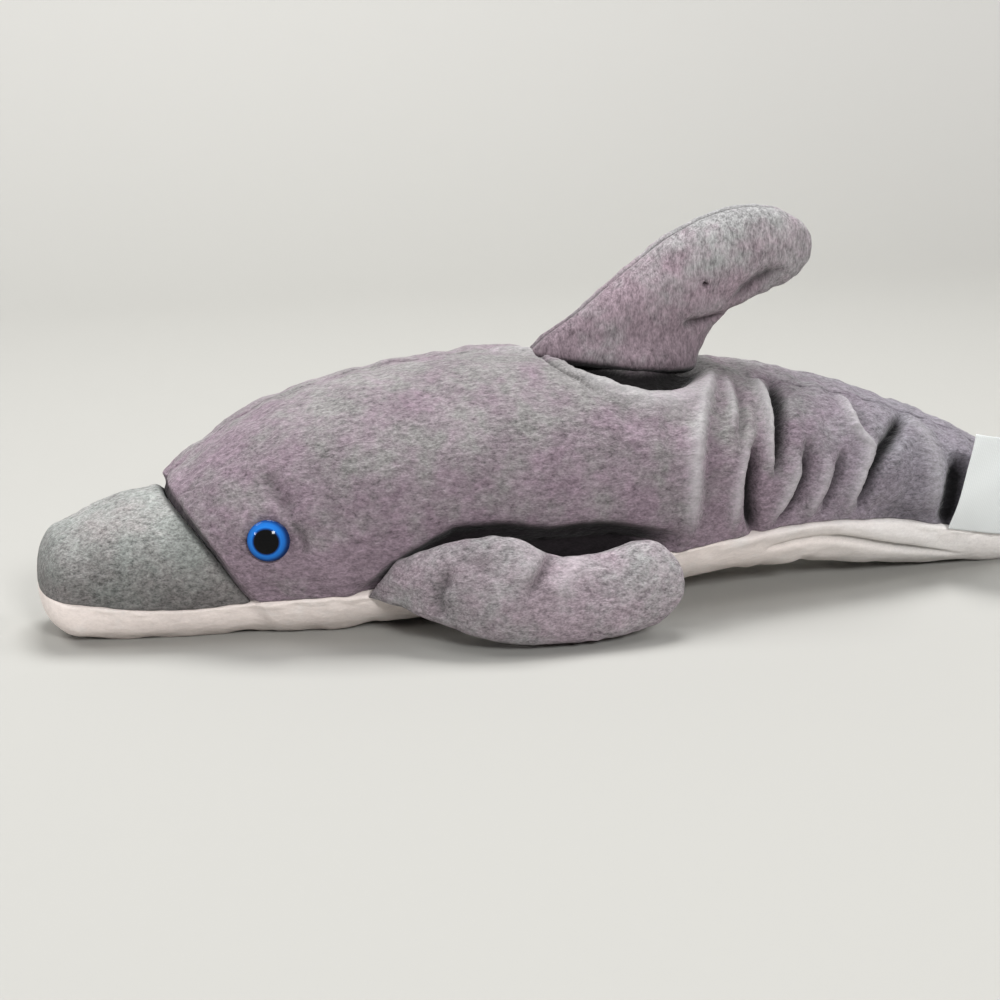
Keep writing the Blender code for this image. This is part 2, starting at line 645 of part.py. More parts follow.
def build():
    """Makes every piece of the toy."""
    clear_scene()
    grey = material("grey_pile", GREY_PILE, 0.95)
    pale = material("pale_pile", PALE_PILE, 0.95)
    fibre = material("fibre_fill", FIBRE_FILL, 1.0)
    blue = material("eye_gloss", EYE_BLUE, 0.1)
    washer_white = material("washer_plastic", WASHER_WHITE, 0.5)
    satin = material("label_satin", LABEL_WHITE, 0.6)

    sides = side_rows()
    snout = np.asarray(SNOUT_ROWS)
    whole = np.concatenate([snout, sides[1:]])
    left = body_panel("side_panel_left", sides, -seam_angle(sides), back_angle(sides),
                      PANEL_COLUMNS, grey, snout_row=0)
    right = body_panel("side_panel_right", sides, back_angle(sides), seam_angle(sides),
                       PANEL_COLUMNS, grey, snout_row=0)
    body_panel("snout_panel", snout, -seam_angle(snout), seam_angle(snout),
               SNOUT_COLUMNS, grey, pole_shift=1, snout_row=-1)
    body_panel("belly_panel", whole, seam_angle(whole), 2 * math.pi - seam_angle(whole),
               BELLY_COLUMNS, pale, pole_shift=-1)
    fill_rows = np.concatenate([snout[2:], sides[1:4], sides[5::2]])
    inside = FABRIC + FILL_CLEARANCE
    stuffing = body_solid("body_stuffing", fill_rows, -inside, fibre, 0.5, inside, TAIL_SLACK)

    envelope = as_tool(body_solid("body_envelope", whole[1:], SEAM_GAP, grey, 0.0, -50.0))
    dorsal_fin(grey, fibre, envelope)
    flukes(grey, fibre, envelope)
    for side, panel in (("left", left), ("right", right)):
        flipper(side, grey, fibre, envelope)
        safety_eye(side, blue, washer_white, panel, stuffing)
    label(satin)


build()
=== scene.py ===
"""Plush dolphin: the sewn and stuffed toy in full detail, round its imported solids.

Sizes are in millimetres and are turned to metres when a mesh is made. "Along" is the distance from
the snout tip towards the flukes, "height" is above the floor, and the side at -Y is the one that
the photograph shows.
"""

import math

import bpy
import numpy as np
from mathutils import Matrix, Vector


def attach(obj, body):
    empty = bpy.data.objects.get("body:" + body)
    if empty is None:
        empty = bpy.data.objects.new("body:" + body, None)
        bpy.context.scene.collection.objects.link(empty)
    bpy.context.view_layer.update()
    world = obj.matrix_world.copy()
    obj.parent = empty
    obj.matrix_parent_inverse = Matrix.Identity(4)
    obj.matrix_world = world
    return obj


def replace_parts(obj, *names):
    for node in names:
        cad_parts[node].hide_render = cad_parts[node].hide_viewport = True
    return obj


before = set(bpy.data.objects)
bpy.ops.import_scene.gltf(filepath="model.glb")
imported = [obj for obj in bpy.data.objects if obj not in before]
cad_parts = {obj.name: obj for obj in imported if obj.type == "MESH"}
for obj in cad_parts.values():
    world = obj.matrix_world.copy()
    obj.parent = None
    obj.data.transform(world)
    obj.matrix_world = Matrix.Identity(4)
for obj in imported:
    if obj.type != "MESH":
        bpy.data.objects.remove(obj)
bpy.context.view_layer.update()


# Camera
# It stands about 650 mm from the toy, 16 degrees round towards the snout and 15 degrees above the
# floor, as the photograph's did, and looks at a point over the middle of the picture.
VIEW_AZIMUTH = math.radians(-16.0)
VIEW_ELEVATION = math.radians(15.0)
VIEW_DISTANCE = 0.650
VIEW_CENTRE = Vector((-0.0499, 0.0, 0.0305))
LENS = 76.39
SENSOR = 36.0

towards_camera = Vector((
    math.sin(VIEW_AZIMUTH) * math.cos(VIEW_ELEVATION),
    -math.cos(VIEW_AZIMUTH) * math.cos(VIEW_ELEVATION),
    math.sin(VIEW_ELEVATION),
))
camera_data = bpy.data.cameras.new("camera")
camera_data.lens = LENS
camera_data.sensor_width = SENSOR
camera = bpy.data.objects.new("camera", camera_data)
camera.location = VIEW_CENTRE + towards_camera * VIEW_DISTANCE
camera.rotation_euler = towards_camera.to_track_quat("Z", "Y").to_euler()
bpy.context.scene.collection.objects.link(camera)
bpy.context.scene.camera = camera


# Side panels
# The body's two large panels of grey velour, a knitted polyester backing with a short brushed pile.
# Each is cut to shape, sewn to the other along the back and to the pale belly below, and stuffed
# from inside. The sewing gathers the tail stock into deep folds.
MM = 0.001
TOTAL_LENGTH = 379.0
BODY_LENGTH = 341.0
FABRIC = 2.0
SNOUT_SEAM = 57.5
SNOUT_CAP = 10.0
SNOUT_TIP_HEIGHT = 16.0
TAIL_CAP = 16.0
TAIL_TIP_HEIGHT = 8.5
RING_POWER = 2.25
UNDER_POWER = 2.9
#    along, slant,  top, bottom, half width, widest height, seam height
BODY_RINGS = [
    (0.0, 0.05, 29.8, 3.0, 17.5, 17.0, 14.5),
    (10.0, 0.12, 32.4, 1.0, 19.0, 17.5, 13.2),
    (24.0, 0.33, 36.2, -0.8, 21.5, 18.0, 11.3),
    (40.0, 0.52, 39.5, -1.2, 24.0, 18.5, 10.3),
    (57.5, 0.68, 42.6, -1.4, 26.5, 20.0, 11.5),
    (60.0, 0.68, 45.2, -1.4, 29.5, 22.5, 12.0),
    (67.0, 0.66, 49.6, -1.4, 32.0, 25.5, 12.7),
    (75.5, 0.58, 55.3, -1.4, 34.5, 28.5, 13.5),
    (91.5, 0.40, 66.2, 0.0, 37.8, 32.0, 14.0),
    (111.5, 0.24, 73.4, 0.9, 40.3, 34.5, 14.5),
    (140.0, 0.08, 77.6, 0.9, 42.0, 36.5, 15.5),
    (171.0, 0.0, 75.5, 2.6, 41.0, 37.5, 18.0),
    (200.0, 0.0, 71.8, 6.5, 37.0, 37.5, 21.8),
    (230.0, 0.0, 66.2, 7.0, 31.5, 36.0, 24.0),
    (259.0, 0.0, 58.4, 3.6, 26.0, 31.0, 21.3),
    (287.0, 0.0, 47.2, 0.6, 20.0, 24.5, 14.8),
    (310.0, 0.0, 34.5, -0.6, 15.5, 17.0, 10.5),
    (341.0, 0.0, 18.0, -0.6, 11.5, 8.8, 8.0),
]
BACK_SEAM_ROLL = [
    (0.0, 4.0), (57.5, 5.0), (80.0, 8.0), (105.0, 8.0), (130.0, 4.0), (155.0, 0.0), (180.0, -4.0),
    (200.0, -10.0), (220.0, -15.5), (250.0, -18.0), (300.0, -16.0), (341.0, -14.0),
]

# Folds (rise below 0) and rolls of the fabric between them: rise, half width, the line on the smooth
# body as (along, sideways, height), and for a steep-sided one its power. A fold's depth also paints
# shade into the pile's colour, and a roll's height paints a highlight onto it
STEEP = 3.2
BODY_FOLDS = [
    (-1.5, 4.4, [(205, -13, 70.2), (202.8, -18.6, 68), (196, -31.5, 59), (192.8, -37.2, 48.5),
                 (192.6, -38.3, 36.6), (193.6, -37.8, 28.7), (194.5, -36.8, 24)]),
    (-1.7, 1.7, [(211, -13, 68.5), (209.3, -19.2, 66.3), (207, -27.4, 60.8), (205.4, -31.8, 55.4),
                 (204, -34, 50)]),
    (-5.8, 2.0, [(210, -31.5, 53.5), (208.6, -33.6, 49.5), (207.2, -35.7, 41), (207.4, -35.8, 34),
                 (209, -35, 27.5), (211.5, -34.2, 21)]),
    (-5.8, 2.2, [(225.5, -7.5, 67), (224.4, -11.6, 66.1), (221.9, -20.4, 62.8), (219.5, -27.9, 56.2),
                 (218, -31.5, 50.3), (216.8, -33.6, 44.1), (216, -34.2, 39.5)]),
    (-3.8, 2.1, [(228.4, -28.7, 51), (227.9, -30.4, 46), (226.6, -32.1, 39.1), (223.6, -32.7, 32.6),
                 (220.5, -33.1, 28.6), (218, -33.1, 24)]),
    (-3.0, 1.9, [(241, -28, 47), (239.8, -29, 42.6), (237.2, -30.1, 35.3), (235.3, -30.4, 31.1),
                 (234, -30.4, 26)]),
    (-5.8, 2.2, [(271, -8.5, 53), (269, -12, 52.5), (264.2, -18, 50.2), (256.2, -24.5, 44.2),
                 (250.8, -27.3, 38.1), (248, -28.2, 30.9), (247, -28, 25)]),
    (-1.6, 2.4, [(252, -10, 59), (250.6, -14.6, 57.9), (249.4, -23.3, 50.8), (252, -25, 47)]),
    (-5.2, 4.6, [(287, -16, 39), (285.2, -18.5, 34.5), (284, -20.3, 29), (283, -20.9, 23),
                 (282.5, -20.5, 13)]),
    (-1.6, 6.0, [(252, -27, 29), (260, -25.8, 24), (270, -23.4, 20), (278, -21.6, 18)]),
    (-3.0, 1.4, [(150.5, 7, 76.5), (151, 2.4, 77), (150.7, -3.9, 77), (152.5, -15.2, 75.1),
                 (159.3, -23.9, 71), (162.5, -28, 68)]),
    (-1.0, 2.4, [(158, -22, 72), (163.2, -29.1, 67.1), (166.8, -32, 63.9), (174, -37, 57)]),
    (-7.5, 5.8, [(156, 0, 77), (162.5, -5, 76), (165.5, -11.5, 74.6), (170, -16, 73),
                 (175.5, -18.6, 71.8), (181, -19, 70.9), (187.5, -17.2, 70.8), (194, -11.5, 71.4),
                 (201, -5, 71.8)], STEEP),
    (-1.5, 2.8, [(62, -27, 53), (65.8, -31.8, 45.9), (67.2, -33.4, 43), (69, -35, 38)]),
    (-1.6, 1.3, [(68.5, -34.3, 40), (69.5, -35.1, 37.7), (71.3, -35.7, 34.8), (72.6, -35.9, 31.3),
                 (73.4, -35.8, 27.5)]),
    (-1.1, 4.0, [(72, -24, 59), (76.5, -32, 50), (80.5, -36.5, 40), (82, -37.5, 33)]),
    (-6.0, 4.6, [(86, -35.5, 11), (92, -37.2, 15.4), (99.3, -39.1, 21.2), (111.4, -40.6, 27.2),
                 (116, -41, 29.8), (129.7, -41.8, 29.8), (142.9, -41.9, 27.4), (151.7, -41.8, 28),
                 (161.6, -41.4, 27.8), (174.9, -40.5, 25.8), (187, -38.5, 23)], STEEP),
    (-5.0, 4.4, [(112, -40.6, 22), (124, -41.2, 24), (138, -41.4, 22.5), (152, -40.8, 22),
                 (164, -40.4, 22.5), (176, -39.6, 21), (184, -38.6, 19.5)], STEEP),
    (3.0, 3.0, [(204.5, -11, 70.5), (200.4, -18.5, 68.8), (194.6, -27.4, 63.8), (190, -35.3, 54.5),
                (187.7, -38.8, 42.4), (187, -39, 32.8), (187, -38.6, 25)]),
    (1.7, 1.8, [(206, -14, 68.8), (205, -20.9, 66.2), (204.7, -25.1, 63.4), (203.8, -28.2, 60.4),
                (201.5, -32.8, 55)]),
    (2.7, 2.0, [(217, -10, 67.5), (216.5, -17.6, 65.4), (216, -24.6, 60.8), (215.4, -28.7, 56.4),
                (214.2, -33, 47.8), (213.6, -34.3, 41)]),
    (2.4, 2.3, [(209.5, -30.5, 55), (206.8, -33.8, 48.5), (203.8, -36, 43.4), (202.4, -36.6, 38.4),
                (201.5, -36.8, 32.7), (201.5, -36.3, 25)]),
    (2.3, 2.1, [(224, -32.2, 46.5), (223, -32.8, 41.5), (221, -33.4, 37), (218.2, -33.8, 32.5),
                (215.5, -34.1, 26)]),
    (1.7, 2.0, [(234.5, -30, 46), (234, -30.5, 40.8), (232.6, -31, 36.5), (230, -31.6, 31.8),
                (228.5, -31.7, 26)]),
    (2.8, 2.2, [(247, -10, 60.5), (246.3, -14.3, 59.4), (245, -20.1, 56), (246, -23.3, 52),
                (248.6, -24.9, 48.3), (249.8, -25.6, 45.5), (248.8, -26.8, 42), (246.6, -27.8, 38),
                (243.6, -29, 32), (242.5, -29.1, 25)]),
    (1.2, 3.8, [(270, -8, 52), (273.2, -15.9, 47.5), (275.6, -20.4, 39.3), (275, -22.5, 29.6),
                (274, -23, 22)]),
    (2.0, 4.0, [(155, -15, 75), (160.5, -22.5, 71.5), (169.2, -26.5, 68.5), (177.2, -29.5, 65.3),
                (187.6, -28, 65), (196, -22, 67), (200, -17, 69)]),
    (1.6, 2.8, [(134, 1, 78), (141, 1, 77.6), (148, 0, 77.4), (154, -6, 76.6)]),
]
# Depth and radius of the rounded edge at each seam, and the heights between which the thread's pull
# on the snout seam grows to its full strength
SNOUT_GROOVE = (2.0, 1.7)
HEAD_GROOVE = (2.4, 3.0)
SIDE_GROOVE = (1.3, 1.1)
BACK_GROOVE = (1.4, 1.2)
SNOUT_PULL_HEIGHTS = (12.0, 27.0)
SNOUT_SEAM_LEAN = 0.86
SEAM_DRAW = 0.8
SEAM_DRAW_WIDTH = 7.0
SEAM_ALLOWANCE = 1.6
SEAM_BAND = 3.0
SEAM_STEP = 0.36
ROW_STEP = 0.66
INNER_FACE = 0.7 * FABRIC
# Painted shade and highlight: a fold's colour is painted with shade from the first of these depths
# and painted dark at the second, and a roll's colour is painted with a highlight that is full at its height
FOLD_SHADE_DEPTHS = (0.5, 3.8)
ROLL_HIGHLIGHT_HEIGHT = 2.6
FOLD_POWER = 1.8
# Rise and wavelength of the fill's lumps, of the puckers beside a seam and of the pile's tufts
LUMPS = (0.4, 34.0)
PUCKERS = (0.35, 7.0)
PUCKER_REACH = 6.0
TUFTS = (0.13, 3.0)
FINE_TUFTS = (0.10, 1.6)
# The coarse sheet of the cloth simulation
SHEET_SCALE = 10
SHEET_FRAMES = 20
SHEET_SPARE = 0.03
SHEET_PRESSURE = 4.0
SHEET_MASS = 0.05
SHEET_STIFFNESS = 5.0
SHEET_BENDING = 0.5
SHEET_KEPT = 0.6
GREY_DARK = "4e4a4c"
GREY_LIGHT = "9c9599"
GREY_COOL = "8f8d8b"
GREY_WARM = "9e8796"
GREY_TAIL = "898892"
# The pale grey of the painted highlight on the rolls
ROLL_HIGHLIGHT_GREY = "c4c2c3"


def unit(vectors):
    """Vectors of length one in the same directions."""
    length = np.linalg.norm(vectors, axis=-1, keepdims=True)
    return vectors / np.maximum(length, 1e-9)


def smooth_through(x, stations, values):
    """A monotone cubic: each tangent is the weighted harmonic mean of the slopes beside it, or
    zero where they change sign, so a size never overshoots between its stations."""
    xs = np.asarray(stations, float)
    ys = np.asarray(values, float)
    step = np.diff(xs)
    slope = np.diff(ys) / step
    tangent = np.zeros(len(xs))
    tangent[0] = slope[0]
    tangent[-1] = slope[-1]
    before = slope[:-1]
    after = slope[1:]
    weight_before = 2 * step[1:] + step[:-1]
    weight_after = step[1:] + 2 * step[:-1]
    turning = before * after <= 0
    safe_before = np.where(turning, 1.0, before)
    safe_after = np.where(turning, 1.0, after)
    mean = (weight_before + weight_after) / (weight_before / safe_before + weight_after / safe_after)
    tangent[1:-1] = np.where(turning, 0.0, mean)
    x = np.clip(np.asarray(x, float), xs[0], xs[-1])
    index = np.clip(np.searchsorted(xs, x, side="right") - 1, 0, len(step) - 1)
    width = step[index]
    t = (x - xs[index]) / width
    rise = ys[index + 1] - ys[index]
    start = tangent[index] * width
    end = tangent[index + 1] * width
    return ys[index] + start * t + (3 * rise - 2 * start - end) * t ** 2 + (start + end - 2 * rise) * t ** 3


def ring_sizes(along):
    """The body's cross-section at each place: every size runs through its stations on a monotone
    cubic, and "full" closes the two ends as rounded caps about a core height."""
    table = np.asarray(BODY_RINGS, float)
    names = ("slant", "top", "bottom", "half_width", "widest", "seam")
    sizes = {n: smooth_through(along, table[:, 0], table[:, k + 1]) for k, n in enumerate(names)}
    into_snout = np.clip((SNOUT_CAP - along) / SNOUT_CAP, 0.0, 1.0)
    into_tail = np.clip((along - (BODY_LENGTH - TAIL_CAP)) / TAIL_CAP, 0.0, 1.0)
    sizes["full"] = (1 - into_snout ** 2.6) ** (1 / 2.6) * (1 - into_tail ** 2) ** 0.5
    sizes["core"] = np.where(along < BODY_LENGTH / 2, SNOUT_TIP_HEIGHT, TAIL_TIP_HEIGHT)
    return sizes


def bare_surface(along, angle):
    """Points of the smooth body, with the angle 0 on the back, 90 degrees at +Y and 180 below.
    Each section is a superellipse, y = half width x sin^(2/n) and z = widest + reach x cos^(2/n),
    fuller below its widest height, and it leans forward above the side seam by its slant."""
    ring = ring_sizes(along)
    across = np.sin(angle)
    upward = np.cos(angle)
    power = np.where(upward > 0, 2 / RING_POWER, 2 / UNDER_POWER)
    y = ring["half_width"] * np.sign(across) * np.abs(across) ** power
    reach = np.where(upward > 0, ring["top"] - ring["widest"], ring["widest"] - ring["bottom"])
    z = ring["widest"] + reach * np.sign(upward) * np.abs(upward) ** power
    z = ring["core"] + ring["full"] * (z - ring["core"])
    y = ring["full"] * y
    x = along - ring["full"] * ring["slant"] * (z - ring["seam"])
    return np.stack([x, y, z], axis=-1)


def outward(along, angle):
    """The smooth body's outward direction: the cross product of its slopes along and round it."""
    small = 0.05
    turn = 0.01
    low = np.clip(along - small, 0.0, BODY_LENGTH)
    high = np.clip(along + small, 0.0, BODY_LENGTH)
    lengthwise = bare_surface(high, angle) - bare_surface(low, angle)
    round_it = bare_surface(along, angle + turn) - bare_surface(along, angle - turn)
    return unit(np.cross(lengthwise, round_it))


def seam_angle(along):
    """The angle from the back at which the side seam's height lies on the section."""
    ring = ring_sizes(along)
    rise = (ring["seam"] - ring["widest"]) / (ring["widest"] - ring["bottom"])
    return np.arccos(np.sign(rise) * np.abs(rise) ** (UNDER_POWER / 2))


def back_angle(along):
    """The angle of the back seam, which lies a little to +Y over the head and to -Y behind the fin."""
    places, degrees = zip(*BACK_SEAM_ROLL)
    return np.radians(smooth_through(along, places, degrees))


def ripple(points, wavelength, seed, stretch=(1.0, 1.0, 1.0), count=40):
    """Smooth random relief of about -1 to 1: the sum of plane waves in random directions whose
    lengths lie round the wavelength, drawn out along each axis by stretch."""
    draw = np.random.RandomState(seed)
    direction = unit(draw.normal(size=(count, 3)))
    length = wavelength * draw.uniform(0.75, 1.35, count)
    waves = direction * (2 * math.pi / length)[:, None] / np.asarray(stretch)
    phase = draw.uniform(0.0, 2 * math.pi, count)
    flat = points.reshape(-1, 3)
    total = np.cos(flat @ waves.T + phase).sum(axis=1) / math.sqrt(2 * count)
    return total.reshape(points.shape[:-1])


def fold_relief(points, folds):
    """Rise of folds and rolls at points, and each point's painted shade for the pile's colour: how deep
    it lies in a fold, or below 0, as a painted highlight, how high on a roll. Across a fold the rise is
    a bell of the distance to its line, whose sides are steeper for a higher power, and it fades to
    nothing at the line's ends."""
    rise = np.zeros(points.shape[:-1])
    depth = np.zeros(points.shape[:-1])
    crest = np.zeros(points.shape[:-1])
    for height, half_width, line, *power in folds:
        nearest = np.full(rise.shape, np.inf)
        share = np.zeros(rise.shape)
        runs = np.asarray(line, float)
        lengths = np.linalg.norm(np.diff(runs, axis=0), axis=1)
        passed = np.concatenate([[0.0], np.cumsum(lengths)])
        for k in range(len(lengths)):
            step = runs[k + 1] - runs[k]
            t = np.clip((points - runs[k]) @ step / lengths[k] ** 2, 0.0, 1.0)
            away = np.linalg.norm(points - runs[k] - t[..., None] * step, axis=-1)
            closer = away < nearest
            nearest = np.where(closer, away, nearest)
            share = np.where(closer, (passed[k] + t * lengths[k]) / passed[-1], share)
        fade = np.clip(5.0 * share * (1 - share), 0.0, 1.0) ** 0.8
        steepness = power[0] if power else FOLD_POWER
        bell = np.exp(-(nearest / (half_width * (0.55 + 0.45 * fade))) ** steepness) * fade
        rise += height * bell
        depth = np.maximum(depth, -height * bell)
        crest = np.maximum(crest, height * bell)
    dark = np.clip((depth - FOLD_SHADE_DEPTHS[0]) / (FOLD_SHADE_DEPTHS[1] - FOLD_SHADE_DEPTHS[0]), 0.0, 1.0)
    return rise, dark - np.clip(crest / ROLL_HIGHLIGHT_HEIGHT, 0.0, 1.0)


def groove(distance, depth, radius):
    """Rounded edge at a seam: a quarter circle that drops by the radius at the edge, scaled to the
    given depth, under a wide shallow dip where the thread draws the fabric in."""
    inside = np.clip(1 - distance / radius, 0.0, 1.0)
    dip = SEAM_DRAW * np.exp(-(distance / SEAM_DRAW_WIDTH) ** 2)
    return depth * (1 - np.sqrt(1 - inside ** 2)) + dip


def pile_relief(points, seed, nap):
    """Tufts of the pile: two bands of ripples, 1.6 and 3 mm long, drawn out along the nap."""
    rise, length = TUFTS
    fine_rise, fine_length = FINE_TUFTS
    coarse = rise * ripple(points, length, seed, nap)
    return coarse + fine_rise * ripple(points, fine_length, seed + 1, nap, 60)


def spaced(length, step, edge, edge_step):
    """Places from 0 to length, about step apart, and edge_step apart within edge of both ends."""
    fine = np.arange(0.0, edge, edge_step)
    count = max(2, int(round((length - 2 * edge) / step)))
    middle = np.linspace(edge, length - edge, count)
    return np.concatenate([fine, middle, (length - fine)[::-1]])


def shell_faces(rows, columns, row_picks, column_picks, start_pole=False):
    """Faces of a closed piece of fabric: a fine outer grid, a coarse inner grid of the picked rows
    and columns, and a rim of long faces between the two. A pole is a first row of one point."""
    index = np.arange(rows * columns).reshape(rows, columns)
    first = 1 if start_pole else 0
    if start_pole:
        index[0, :] = 0
    quads = np.stack([index[first:-1, :-1], index[first + 1:, :-1],
                      index[first + 1:, 1:], index[first:-1, 1:]], axis=-1).reshape(-1, 4)
    faces = quads.tolist()
    inner = rows * columns + np.arange(len(row_picks) * len(column_picks))
    inner = inner.reshape(len(row_picks), len(column_picks))
    if start_pole:
        inner[0, :] = inner[0, 0]
        faces += np.stack([index[0, :-1], index[1, :-1], index[1, 1:]], axis=-1).tolist()
        faces += np.stack([inner[0, :-1], inner[1, 1:], inner[1, :-1]], axis=-1).tolist()
    low = inner[first:]
    back = np.stack([low[:-1, :-1], low[:-1, 1:], low[1:, 1:], low[1:, :-1]], axis=-1)
    faces += back.reshape(-1, 4).tolist()
    borders = [
        (index[:, 0], inner[:, 0], row_picks, True),
        (index[:, -1], inner[:, -1], row_picks, False),
        (index[-1, :], inner[-1, :], column_picks, True),
    ]
    if not start_pole:
        borders.append((index[0, :], inner[0, :], column_picks, False))
    for outer_line, inner_line, picks, turned in borders:
        for k in range(len(picks) - 1):
            run = outer_line[picks[k]:picks[k + 1] + 1].tolist()
            ring = list(dict.fromkeys([int(inner_line[k]), *run, int(inner_line[k + 1])]))
            faces.append(ring[::-1] if turned else ring)
    return faces


def make_piece(name, points, faces, surface, fold=None):
    """A mesh object at the origin from points in millimetres, smooth shaded. Points that no face
    uses are left out, and fold, the painted shade of folds and seams and the painted highlight of
    rolls, is kept as an attribute that the pile's colour reads."""
    points = (points.reshape(-1, 3) - [TOTAL_LENGTH / 2, 0.0, 0.0]) * MM
    used = np.zeros(len(points), bool)
    used[np.concatenate([np.asarray(f) for f in faces])] = True
    number = np.cumsum(used) - 1
    faces = [number[f].tolist() for f in faces]
    mesh = bpy.data.meshes.new(name)
    mesh.from_pydata(points[used].tolist(), [], faces)
    mesh.shade_smooth()
    if fold is not None:
        layer = mesh.attributes.new("fold", "FLOAT", "POINT")
        layer.data.foreach_set("value", fold.reshape(-1)[used].astype(np.float32))
    mesh.materials.append(surface)
    made = bpy.data.objects.new(name, mesh)
    bpy.context.scene.collection.objects.link(made)
    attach(made, "root")
    return made


def every_sixth(count):
    """The rows or columns of a fine grid that its coarse sheet keeps: every sixth, and the last."""
    return np.unique(np.append(np.arange(0, count, 6), count - 1))


def curve_weights(count, picks):
    """Weights that turn values at the picked places into values at every place, along a
    Catmull-Rom curve."""
    place = np.interp(np.arange(count), picks, np.arange(len(picks)))
    index = np.minimum(place.astype(int), len(picks) - 2)
    f = place - index
    shares = [-0.5 * f + f ** 2 - 0.5 * f ** 3, 1 - 2.5 * f ** 2 + 1.5 * f ** 3,
              0.5 * f + 2 * f ** 2 - 1.5 * f ** 3, -0.5 * f ** 2 + 0.5 * f ** 3]
    weights = np.zeros((count, len(picks)))
    for k, share in enumerate(shares):
        np.add.at(weights, (np.arange(count), np.clip(index - 1 + k, 0, len(picks) - 1)), share)
    return weights


def billow(points, outwards, rows, columns, cap):
    """How far the fill pushes the fabric out at each point, from a cloth simulation of a coarse
    sheet. The sheet is cut 3% too large, held at its seams and blown up without gravity for 20
    frames, ten times its size because the solver suits cloth of metres. Its mean rise is taken off
    away from the seams, and what is left is capped."""
    sheet = points[rows][:, columns]
    away = outwards[rows][:, columns]
    index = np.arange(len(rows) * len(columns)).reshape(len(rows), len(columns))
    quads = np.stack([index[:-1, :-1], index[1:, :-1], index[1:, 1:], index[:-1, 1:]], axis=-1)
    faces = quads.reshape(-1, 4)
    facing = np.cross(sheet[1:, :-1] - sheet[:-1, :-1], sheet[:-1, 1:] - sheet[:-1, :-1])
    if (facing * away[:-1, :-1]).sum() < 0:
        faces = faces[:, ::-1]
    mesh = bpy.data.meshes.new("sheet")
    mesh.from_pydata((sheet.reshape(-1, 3) * SHEET_SCALE * MM).tolist(), [], faces.tolist())
    cloth = bpy.data.objects.new("sheet", mesh)
    bpy.context.scene.collection.objects.link(cloth)
    seams = cloth.vertex_groups.new(name="seams")
    rim = np.concatenate([index[0], index[-1], index[:, 0], index[:, -1]])
    seams.add(np.unique(rim).tolist(), 1.0, "REPLACE")
    solver = cloth.modifiers.new("cloth", "CLOTH")
    solver.point_cache.frame_start = 1
    solver.point_cache.frame_end = SHEET_FRAMES
    fabric = solver.settings
    fabric.mass = SHEET_MASS
    for stiffness in ("tension_stiffness", "compression_stiffness", "shear_stiffness"):
        setattr(fabric, stiffness, SHEET_STIFFNESS)
    fabric.bending_stiffness = SHEET_BENDING
    fabric.use_pressure = True
    fabric.uniform_pressure_force = SHEET_PRESSURE
    fabric.shrink_min = -SHEET_SPARE
    fabric.vertex_group_mass = "seams"
    fabric.effector_weights.gravity = 0.0
    for step in range(1, SHEET_FRAMES + 1):
        bpy.context.scene.frame_set(step)
    blown = cloth.evaluated_get(bpy.context.evaluated_depsgraph_get()).data
    places = np.empty(3 * index.size)
    blown.vertices.foreach_get("co", places)
    bpy.data.objects.remove(cloth)
    bpy.data.meshes.remove(mesh)
    bpy.context.scene.frame_set(1)
    moved = ((places.reshape(sheet.shape) / (SHEET_SCALE * MM) - sheet) * away).sum(axis=-1)
    steps_in = [np.minimum(np.arange(n), n - 1 - np.arange(n)) for n in moved.shape]
    inside = np.clip(np.minimum(steps_in[0][:, None], steps_in[1][None, :]) / 3.0, 0.0, 1.0)
    moved = np.clip(SHEET_KEPT * (moved - moved.mean() * inside), -cap, cap)
    return curve_weights(len(points), rows) @ moved @ curve_weights(points.shape[1], columns).T


def lowest_near(values, reach):
    """The smallest of the values within reach grid steps of each place, in both directions."""
    for axis in (0, 1):
        pads = [(reach, reach) if k == axis else (0, 0) for k in (0, 1)]
        wide = np.pad(values, pads, mode="edge")
        size = values.shape[axis]
        shifted = [np.take(wide, range(k, k + size), axis=axis) for k in range(2 * reach + 1)]
        values = np.minimum.reduce(shifted)
    return values


def fabric_piece(name, outer, inner, surface, fold, start_pole=False):
    """A panel between a fine outer grid and a coarse copy of its inner face."""
    rows, columns = outer.shape[:2]
    row_picks = every_sixth(rows)
    column_picks = every_sixth(columns)
    back = inner[row_picks][:, column_picks]
    points = np.concatenate([outer.reshape(-1, 3), back.reshape(-1, 3)])
    shade = np.concatenate([fold.reshape(-1), np.zeros(back.size // 3)])
    faces = shell_faces(rows, columns, row_picks, column_picks, start_pole)
    return make_piece(name, points, faces, surface, shade)


def linear(screen_colour):
    """A colour written as sRGB hex, turned to linear light."""
    channels = [int(screen_colour[i:i + 2], 16) / 255 for i in (0, 2, 4)]
    return [c / 12.92 if c <= 0.04045 else ((c + 0.055) / 1.055) ** 2.4 for c in channels] + [1.0]


def add(tree, kind, inputs=None, **settings):
    """Adds a node with its settings, and for each input a value or the output that feeds it."""
    made = tree.nodes.new(kind)
    for key, value in settings.items():
        setattr(made, key, value)
    for key, value in (inputs or {}).items():
        if isinstance(value, bpy.types.NodeSocket):
            tree.links.new(value, made.inputs[key])
        else:
            made.inputs[key].default_value = value
    return made


def new_surface(name):
    """A material with only its shader and output, and the tree that holds them."""
    made = bpy.data.materials.new(name)
    made.use_nodes = True
    return made, made.node_tree, made.node_tree.nodes["Principled BSDF"]


